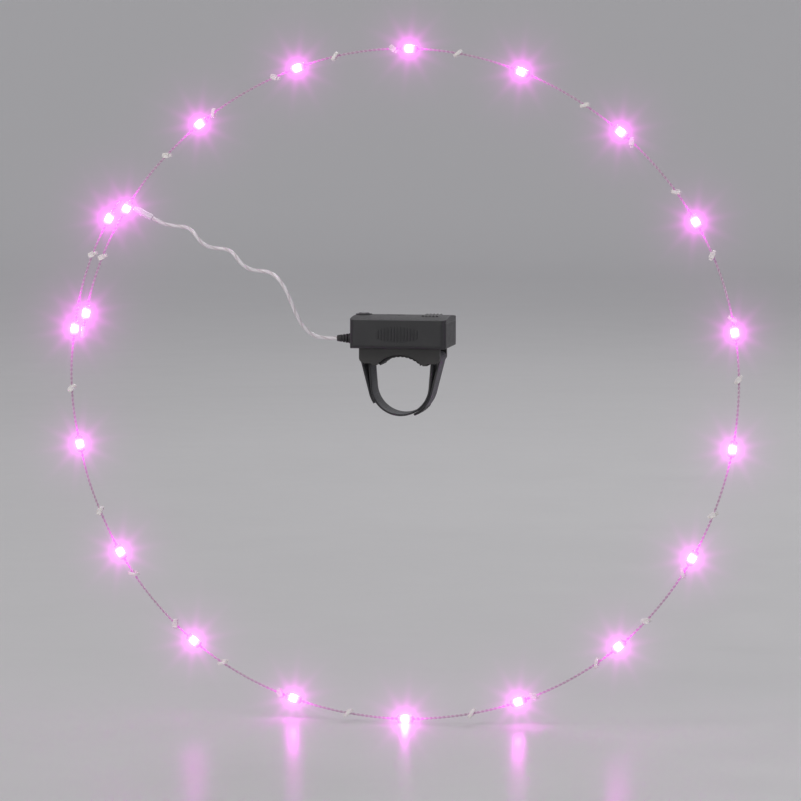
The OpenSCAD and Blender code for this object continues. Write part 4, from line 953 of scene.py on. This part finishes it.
# %% Pad
PAD_OUT, PAD_HALF, PAD_W = 23.0, 45.0, 25.0
PAD_RIBS, PAD_RIB_DEEP, PAD_RIB_STEPS = 11, 0.45, 12
EASE_Y, EASE_IN = np.array([0.0, 0.1, 0.4, 0.9]), np.array([0.3, 0.15, 0.03, 0.0])  # insets near an end
share = np.linspace(0, 1, PAD_RIBS * PAD_RIB_STEPS + 1)
theta = np.radians(90 - PAD_HALF + 2 * PAD_HALF * share)
rib_r = HUB_R + PAD_RIB_DEEP * np.sin(np.pi * PAD_RIBS * share) ** 4
pad_y = np.concatenate([EASE_Y - PAD_W / 2, PAD_W / 2 - EASE_Y[::-1]])
pad_in = np.concatenate([EASE_IN, EASE_IN[::-1]])[:, None]
back_theta = theta[::-2]
pad_a = np.concatenate([theta, back_theta])
pad_r = np.hstack([rib_r + pad_in, PAD_OUT - pad_in + 0 * back_theta])
Shape().grid(xyz(pad_r * np.cos(pad_a), pad_y[:, None], pad_r * np.sin(pad_a)), along=pad_y).piece(
    "ribbed_saddle_pad", [rubber.material], slot="pad_rubber", stands_for=["saddle_pad"], smooth_up_to=55)

# %% [markdown]
# ## The pack's plastic
# Box, cover and saddle are injection moulded. Their moulds are spark-eroded, which leaves a fine even grain,
# and use polishes it away on edges and under the thumb. The imported solids have the right shape, so they stay
# and only get a finish. A Bevel node rounds their sharp edges for the light, and where it turns the surface
# most, the finish is smoother and painted paler: partly rubbed wear, partly a painted highlight.

# %% Grained plastic
EDGE_ROUND = 0.0005


def grained_plastic(name, dark, light, worn_and_highlit_colour, rough):
    """Black moulded plastic: a spark-eroded grain from the distance to scattered points, a faint cloud in
    colour and roughness, a little dust, and edges painted paler, partly rubbed wear and partly painted
    highlight."""
    f = Finish(name, IOR=1.5, Specular_IOR_Level=0.5)
    cloud = f.cloud(240.0)
    turned, edge = f.soft_edge(EDGE_ROUND)
    # Edges painted paler: partly rubbed wear, partly a painted highlight along the edges.
    worn_and_highlit_edges = f.math("MULTIPLY", f.between(edge, 0.0, 1.0, 0.015, 0.16), f.between(cloud, 0.35, 1.0, high=0.6))
    dust = f.between(f.cloud(70.0, detail=6.0), 0.0, 0.16, 0.5, 0.85)
    dusty = f.mix(dust, f.between(cloud, dark, light), (0.075, 0.072, 0.068))
    return f.set(Base_Color=f.mix(worn_and_highlit_edges, dusty, worn_and_highlit_colour),
                 Roughness=f.mix(worn_and_highlit_edges, f.between(cloud, rough, rough + 0.1), (0.27, 0.27, 0.27)),
                 Normal=f.bump(f.grain(3300.0), 0.4, 0.00012, turned))


box_plastic = grained_plastic("spark_eroded_black", dark=(0.0135, 0.0135, 0.0147),
                              light=(0.0185, 0.0185, 0.0205), worn_and_highlit_colour=(0.055, 0.055, 0.059), rough=0.40)
cover_plastic = grained_plastic("thumb_polished_black", dark=(0.0155, 0.0155, 0.0168),
                                light=(0.021, 0.021, 0.023), worn_and_highlit_colour=(0.054, 0.054, 0.058), rough=0.35)
saddle_plastic = grained_plastic("glass_filled_black", dark=(0.022, 0.0215, 0.021),
                                 light=(0.030, 0.029, 0.028), worn_and_highlit_colour=(0.07, 0.068, 0.065), rough=0.46)
dress(box_plastic, "battery_box")
dress(cover_plastic, "battery_cover")
dress(saddle_plastic, "hub_saddle")

# %% [markdown]
# ## Grip ribs
# Each long side of the box has a patch of upright ribs to hold it by while the cover slides. A rib is a flat
# ellipse carried upwards, half of it in the wall, and its ends ease to nothing. The ribs' lengths follow an
# ellipse, so that the patch has the outline of a lens.

# %% Grip ribs
RIBS, RIB_PITCH, RIB_W, RIB_OUT = 13, 2.4, 1.3, 0.5
PATCH_HALF, PATCH_H, PATCH_Z = 18.0, 12.5, 38.6
RIB_RINGS, RIB_TIP = 17, 0.04
upward = np.sin(np.linspace(-np.pi / 2, np.pi / 2, RIB_RINGS))
swell = np.maximum(RIB_TIP, 1 - upward ** 6)[:, None, None]
grip = Shape()
for wall in box_of("battery_box")[:, 1]:
    for x in RIB_PITCH * (np.arange(RIBS) - (RIBS - 1) / 2):
        z = PATCH_Z + PATCH_H / 2 * np.sqrt(1 - (x / PATCH_HALF) ** 2) * upward
        grip.tube(xyz(x, wall, z), swell * circle(0.5, sides=12) * [RIB_W, 2 * RIB_OUT])
grip.piece("side_grip_ribs", [box_plastic], slot="pack_plastic", smooth_up_to=70)

# %% [markdown]
# ## Rubber, metal and the board
# The gland is the same soft rubber as the pad, and the button is grey silicone. Contacts and screws are
# plated: a metal's colour is its reflection, so the finish varies its roughness along the way it was rolled.

# %% Rubber of gland and button
silicone = Finish("grey_silicone", IOR=1.41, Subsurface_Weight=0.06, Subsurface_Radius=(1, 1, 1),
                  Subsurface_Scale=0.0006)
smear = silicone.cloud(300.0)
silicone.set(Base_Color=silicone.between(smear, (0.075, 0.075, 0.08), (0.115, 0.115, 0.12)),
             Roughness=silicone.between(smear, 0.42, 0.66),
             Normal=silicone.bump(silicone.cloud(2200.0), 0.3, 0.0002))
dress(rubber.material, "cable_gland")
dress(silicone.material, "button_cap")


# %% Plated metal
def plated(name, dull, bright, stretch):
    """Plated metal whose roughness and tone run in fine streaks, drawn out by the scales of stretch."""
    f = Finish(name, Metallic=1.0)
    streak = f.noise(f.object(stretch), 1.0)
    blot = f.between(f.cloud(180.0), 0.0, 0.5, 0.4, 0.8)
    return f.set(Base_Color=f.mix(blot, f.between(streak, dull, bright), dull),
                 Roughness=f.between(streak, 0.16, 0.42, 0.25, 0.75), Normal=f.bump(streak, 0.12, 0.0001))


nickel = plated("rolled_nickel", (0.52, 0.49, 0.44), (0.74, 0.71, 0.65), (3000, 250, 3000))
zinc = plated("zinc_plate", (0.48, 0.48, 0.47), (0.68, 0.67, 0.65), (1500, 1500, 300))
dress(nickel, "contact_plates")
dress(zinc, "board_screws", "saddle_screws")


# %% Board and what is on it
def small_moulding(name, dark, light, rough, **sockets):
    """Even plastic, glaze or print with a faint cloud and grain, for small pieces."""
    f = Finish(name, **sockets)
    fine = f.cloud(4200.0)
    return f.set(Base_Color=f.between(f.cloud(700.0), dark, light),
                 Roughness=f.between(fine, rough, rough + 0.2), Normal=f.bump(fine, 0.2, 0.0001))


epoxy = small_moulding("moulded_epoxy", (0.016, 0.016, 0.017), (0.03, 0.03, 0.032), 0.45)
glaze = small_moulding("black_glaze", (0.02, 0.02, 0.024), (0.05, 0.05, 0.056), 0.15, Coat_Weight=0.4)
switch_grey = small_moulding("grey_switch_body", (0.42, 0.42, 0.44), (0.55, 0.55, 0.57), 0.4)
plunger_black = small_moulding("black_plunger", (0.02, 0.02, 0.02), (0.035, 0.035, 0.035), 0.3)
dress(epoxy, "driver_chip")
dress(glaze, "chip_resistors")
dress(switch_grey, "tact_switch")
dress(plunger_black, "tact_plunger")
mask = Finish("green_solder_mask", IOR=1.5, Coat_Weight=0.5, Coat_Roughness=0.12)
tracks = mask.node("TexBrick", {"Vector": mask.object(), "Scale": 260.0, "Mortar Size": 0.03,
                                "Color1": (0.012, 0.105, 0.04, 1), "Color2": (0.016, 0.13, 0.05, 1),
                                "Mortar": (0.05, 0.24, 0.10, 1)})
dress(mask.set(Base_Color=tracks.outputs["Color"], Roughness=mask.between(mask.cloud(1500.0), 0.22, 0.4),
               Normal=mask.bump(tracks.outputs["Fac"], 0.3, 0.0002)), "circuit_board")

# %% [markdown]
# ## Cells, springs and wires
# They show once the cover slides off. A cell is a plated can in a printed sleeve that shrinks over both
# shoulders, so it is three lathe forms: can, sleeve and contact nub. Plain plus and minus marks lie on the
# sleeve as thin bars that bend with it. A spring is a tube on a cone-shaped helix that rises slowly at both
# ends, where it lies on its plate and on its cell. The wires run straight to a quarter bend under the board.

# %% Printed sleeve
CELLS, NUB_D, NUB_H = 3, 5.5, 1.0
cell_box = box_of("cell_1")
cell_l, _, cell_d = cell_box[1] - cell_box[0]
cell_r, can_l = cell_d / 2, cell_l - NUB_H
DARK_TEAL, TEAL = (0.018, 0.075, 0.072), (0.03, 0.15, 0.14)
SILVER_BAND, BLACK_END = (0.62, 0.62, 0.6), (0.05, 0.052, 0.055)
sleeve = Finish("printed_sleeve", Coat_Weight=0.6, Coat_Roughness=0.1, Metallic=0.35)
scuff = sleeve.streak((0.3, 14, 1), 2.0)
along_cell = sleeve.math("DIVIDE", sleeve.axis(sleeve.along(), "X"), cell_l)
paint = sleeve.ramp(along_cell, (0.0, DARK_TEAL), (0.70, TEAL), (0.705, SILVER_BAND),
                    (0.745, SILVER_BAND), (0.75, BLACK_END))
sleeve.set(Base_Color=sleeve.mix(sleeve.between(scuff, 0.0, 0.35, 0.55, 0.8), paint, (0.3, 0.33, 0.33)),
           Roughness=sleeve.between(scuff, 0.2, 0.42))
print_white = small_moulding("printed_white", (0.66, 0.66, 0.64), (0.78, 0.78, 0.76), 0.3)

# %% Cells
CAN_R, SHOULDER, DISH, CAN_GROOVE, LATHE_TIP = 6.75, 0.5, 0.25, 0.4, 0.05
MARK_L, MARK_W, MARK_T, MARK_ROUND, MARK_IN = 3.6, 0.9, 0.1, 0.04, 6.0
mark_section = round_rect(MARK_W, MARK_T, MARK_ROUND, points=3)


def cell_place(i):
    """Place of cell i. Its X runs from its flat end to its nub, and the middle cell is turned round."""
    turn = 1 if i % 2 == 0 else -1
    middle = box_of(f"cell_{i + 1}").mean(0)
    return middle - turn * cell_l / 2 * ALONG, turn * ALONG, turn * AXLE, UP


def cell_bar(shape, place, x, along, around):
    """Thin printed bar on top of the sleeve, x from the cell's flat end: a flat section carried MARK_L far
    along the cell or around it."""
    s = np.linspace(-MARK_L / 2, MARK_L / 2, 13)
    a = np.pi / 2 + around * s / cell_r
    path = xyz(x + along * s, cell_r * np.cos(a), cell_r * np.sin(a))
    shape.tube(put(place, path), mark_section, side=UP, finish=2)


# Outlines as (distance from the flat end, distance from the axis)
can_line = [[DISH, LATHE_TIP], [DISH, 4.2], [0.05, 4.7], [0, 5.6], [0.15, 6.4], [SHOULDER, CAN_R],
            [can_l - SHOULDER, CAN_R], [can_l - 0.12, 6.4], [can_l, 6.05], [can_l - CAN_GROOVE, 5.95],
            [can_l - CAN_GROOVE, 5.25], [can_l, 5.15], [can_l + 0.02, 3.2], [can_l + 0.06, LATHE_TIP]]
nub_line = [[can_l - CAN_GROOVE, LATHE_TIP], [can_l - CAN_GROOVE, NUB_D / 2], [can_l + 0.7, NUB_D / 2],
            [can_l + 0.92, NUB_D / 2 - 0.15], [cell_l, NUB_D / 2 - 0.45], [cell_l, LATHE_TIP]]
jacket_line = [[0.1, 6.5], [0.12, 6.85], [0.3, 7.12], [0.65, cell_r], [can_l - 0.65, cell_r],
               [can_l - 0.3, 7.12], [can_l - 0.12, 6.8], [can_l - 0.05, 6.45], [can_l - 0.3, 6.4], [0.3, 6.4]]
for i in range(CELLS):
    place = cell_place(i)
    cell = Shape().lathe(can_line, place, sides=48).lathe(nub_line, place, sides=32)
    cell.lathe(jacket_line, place, sides=64, wrap=True, finish=1)
    cell_bar(cell, place, cell_l - MARK_IN, 1, 0)
    cell_bar(cell, place, cell_l - MARK_IN, 0, 1)
    cell_bar(cell, place, MARK_IN, 0, 1)
    cell.piece(f"sleeved_cell_{i + 1}", [nickel, sleeve.material, print_white], slot="cell_jacket",
               stands_for=[f"cell_{i + 1}"], smooth_up_to=50)

# %% Springs
SPRING_D, SPRING_TURNS, SPRING_BASE, SPRING_TIP = 0.7, 3.5, 4.4, 2.4
SPRING_FROM, SPRING_TO = -5.05, -0.4  # counted from the cell's flat end
FLAT_START, SLOW_RISE = 0.04, 0.15  # shares of its length that lie flat, and of its rise that is even
t = np.linspace(0, 1, 180)
rise = (1 - SLOW_RISE) * ease((t - FLAT_START) / (1 - FLAT_START)) + SLOW_RISE * t
coil_a, coil_r = 2 * np.pi * SPRING_TURNS * t, SPRING_BASE + (SPRING_TIP - SPRING_BASE) * t
coil = xyz(SPRING_FROM + (SPRING_TO - SPRING_FROM) * rise, coil_r * np.cos(coil_a), coil_r * np.sin(coil_a))
springs = Shape()
for i in range(CELLS):
    springs.tube(put(cell_place(i), coil), circle(SPRING_D / 2, sides=10), side=ALONG)
springs.piece("cone_springs", [nickel], slot="contact_nickel", stands_for=["contact_springs"])

# %% Wires inside the pack
WIRE_BEND_R, CORE_R, RETURN_R = 3.0, 0.55, 0.6
red = Finish("red_insulation", IOR=1.5, Coat_Weight=0.25, Coat_Roughness=0.2)
scrape = red.streak((0.5, 5, 1), 2.0)
red.set(Base_Color=red.between(scrape, (0.30, 0.014, 0.014), (0.46, 0.03, 0.026)),
        Roughness=red.between(scrape, 0.26, 0.5), Normal=red.bump(scrape, 0.2, 0.0002))


def up_turn(p, x, z):
    """Route along X from p to a quarter bend, then up to a height."""
    across, up = arc((-WIRE_BEND_R, WIRE_BEND_R), WIRE_BEND_R, -90, 0, points=13).T
    turn = xyz(x + np.sign(x - p[0]) * across, p[1], p[2] + up)
    return even(np.vstack([p, turn, [x, p[1], z]]), step=0.6)


lo, hi = box_of("core_wires")
cores = Shape()
for y in (lo[1] + CORE_R, hi[1] - CORE_R):
    core_route = up_turn([lo[0], y, lo[2] + CORE_R], hi[0] - CORE_R, hi[2])
    cores.tube(core_route, circle(CORE_R, sides=14))
cores.piece("lead_cores", [red.material], slot="core_insulation", stands_for=["core_wires"])
lo, hi = box_of("return_wire")
return_route = up_turn([hi[0], lo[1] + RETURN_R, lo[2] + RETURN_R], lo[0] + RETURN_R, hi[2])
Shape().tube(return_route, circle(RETURN_R, sides=14)).piece(
    "return_lead", [red.material], slot="core_insulation", stands_for=["return_wire"])

# %% [markdown]
# ## Marks
# Two plain signs tell what to do: a ring with a bar on the button, and an arrow on the cover that points the
# way it slides. Both are raised a little, as moulded marks are. The sign is a small section carried along a
# broken ring and a bar. The arrow is two strips that follow the crown of the cover, part of a large circle
# across the pack, because a flat arrow would sink into it in the middle or hang over its sides.

# %% Button mark
SIGN_R, SIGN_W, SIGN_H, SIGN_ROUND = 1.75, 0.42, 0.16, 0.14
SIGN_GAP, SIGN_BAR_FROM, SIGN_BAR_TO = 38, 0.45, 2.35  # degrees left open on each side of the bar
sign = small_moulding("pale_moulded_mark", (0.42, 0.42, 0.44), (0.56, 0.56, 0.58), 0.45)
sign_section = round_rect(SIGN_W, 2 * SIGN_H, SIGN_ROUND, points=3)
button = box_of("button_cap")
button_x, button_top = button[:, 0].mean(), button[1, 2]
ring_x, ring_y = arc((button_x, 0), SIGN_R, SIGN_GAP - 270, 90 - SIGN_GAP, points=60).T
sign_ring = xyz(ring_x, ring_y, button_top)
sign_bar = xyz(button_x, np.linspace(SIGN_BAR_FROM, SIGN_BAR_TO, 12), button_top)
Shape().tube(sign_ring, sign_section, side=UP).tube(sign_bar, sign_section, side=UP).piece(
    "power_sign", [sign], body="button", slot="button_rubber")

# %% Cover mark
CROWN_Z, CROWN_R = 51.4, 132.97
ARROW_X, ARROW_L, ARROW_W, ARROW_H = -12.0, 9.0, 4.5, 0.22
SHAFT_HALF, ARROW_TIP, STRIP_RINGS = 0.36 * ARROW_W, 0.12, 12
STRIP_ACROSS = np.array([-1, -0.96, -0.88, 0, 0.88, 0.96, 1, 0.5, -0.5])
STRIP_UP = np.array([0.05, 0.75, 1, 1, 1, 0.75, 0.05, -1, -1])


def crown_strip(shape, from_x, length, from_half, to_half):
    """Raised strip along X, from one half width to another. Its height is the cover's crown, a circle across
    the pack, plus a section with eased edges whose underside is sunk into the cover."""
    x = np.linspace(from_x, from_x + length, STRIP_RINGS)
    y = np.linspace(from_half, to_half, STRIP_RINGS)[:, None] * STRIP_ACROSS
    crown = CROWN_Z - CROWN_R + np.sqrt(CROWN_R ** 2 - y * y)
    shape.grid(xyz(x[:, None], y, crown + ARROW_H * STRIP_UP), along=x)


arrow = Shape()
crown_strip(arrow, ARROW_X + ARROW_L, ARROW_W, ARROW_W, ARROW_TIP)
crown_strip(arrow, ARROW_X, ARROW_L, SHAFT_HALF, SHAFT_HALF)
arrow.piece("slide_arrow", [cover_plastic], body="cover", slot="cover_plastic")

# %% [markdown]
# ## Room and light
# The floor runs up into a round wall far outside the camera's circle, so every side of the object has the
# same plain pale ground. It lies just under the lowest light, and the lights make pools of magenta on it. The
# large soft lamps are kept dim, so that the lit capsules stay the brightest thing, and a touch of glare
# spreads their light as a lens does. The front lamp shines on the object alone and leaves the room as it is.

# %% Floor
WALL_R, COVE_R, WALL_TOP = 7000.0, 1600.0, 1900.0
FLOOR_RINGS, ROOM_SIDES, FLOOR_GAP = (10.0, 1000.0, 2500.0), 96, 0.6
floor_z = cad_box[0][2] / MM - FLOOR_GAP
pale = Finish("pale_floor", Specular_IOR_Level=0.4)
near = pale.between(pale.cloud(1.3), (0.66, 0.655, 0.66), (0.69, 0.685, 0.69))
distance = pale.node("VectorMath", {0: pale.object()}, operation="LENGTH").outputs["Value"]
# Painted light: the far floor and the wall are painted paler, to make up for the weaker light that reaches
# them.
painted_far_light = pale.between(pale.math("DIVIDE", distance, WALL_R * MM), 0.0, 1.0, 0.4, 0.85)
pale.set(Base_Color=pale.mix(painted_far_light, near, (0.95, 0.945, 0.95)),
         Roughness=pale.between(pale.cloud(14.0), 0.30, 0.38))
cove = arc((WALL_R - COVE_R, COVE_R), COVE_R, -90, 0, points=24)[:, ::-1]
room_line = np.vstack([[[0.0, r] for r in FLOOR_RINGS], cove, [WALL_TOP, WALL_R]])
room = Shape().lathe(room_line, (floor_z * UP, UP, ALONG, AXLE), ROOM_SIDES, open_end=True).made(
    "pale_room", [pale.material])
print("floor at", round(floor_z * MM, 4), "m")


# %% Lamps
def lamp(name, at, towards, size, power, colour=(1, 1, 1)):
    """Square soft lamp that faces a point and that no camera sees."""
    light = bpy.data.lights.new(name, "AREA")
    light.size, light.energy, light.color = size, power, colour
    obj = bpy.data.objects.new(name, light)
    obj.visible_camera = False
    aim(obj, at, towards)
    return obj


lamp("key_lamp", (-2.0, -2.2, 2.6), (0, 0, 0), 1.8, 46.0, (1.0, 0.97, 0.94))
lamp("fill_lamp", (2.6, -1.6, 1.2), (0, 0, 0), 2.2, 18.0, (0.93, 0.95, 1.0))
lamp("back_lamp", (0.6, 2.6, 2.4), (0, 0, 0), 1.6, 34.0)
front_lamp = lamp("front_lamp", (-0.95, -2.6, 0.30), (0, 0, 0.03), 0.9, 9.0)
not_lit = bpy.data.collections.new("not_lit_from_the_front")
not_lit.objects.link(room)
not_lit.collection_objects[0].light_linking.link_state = "EXCLUDE"
front_lamp.light_linking.receiver_collection = not_lit
world = bpy.data.worlds.new("soft_world")
world.use_nodes = True
world.node_tree.nodes["Background"].inputs["Color"].default_value = (0.86, 0.86, 0.9, 1)
world.node_tree.nodes["Background"].inputs["Strength"].default_value = 0.36
scene.world = world
print(len(bpy.data.lights), "lamps")

# %% Glare
HALO = {"Threshold": 1.5, "Strength": 1.0, "Size": 0.45}
RAYS = {"Threshold": 6.0, "Strength": 0.022, "Streaks": 10, "Streaks Angle": np.radians(11), "Iterations": 4,
        "Fade": 0.91, "Color Modulation": 0.0}
scene.view_settings.view_transform = "Standard"
scene.use_nodes = True
lens = scene.node_tree
lens.nodes.clear()
image = lens.nodes.new("CompositorNodeRLayers").outputs["Image"]
for kind, sizes in (("FOG_GLOW", HALO), ("STREAKS", RAYS)):
    glare = lens.nodes.new("CompositorNodeGlare")
    glare.glare_type, glare.quality = kind, "HIGH"
    for key, value in sizes.items():
        glare.inputs[key].default_value = value
    lens.links.new(image, glare.inputs["Image"])
    image = glare.outputs["Image"]
lens.links.new(image, lens.nodes.new("CompositorNodeComposite").inputs["Image"])
print("glare of", len(lens.nodes), "nodes")
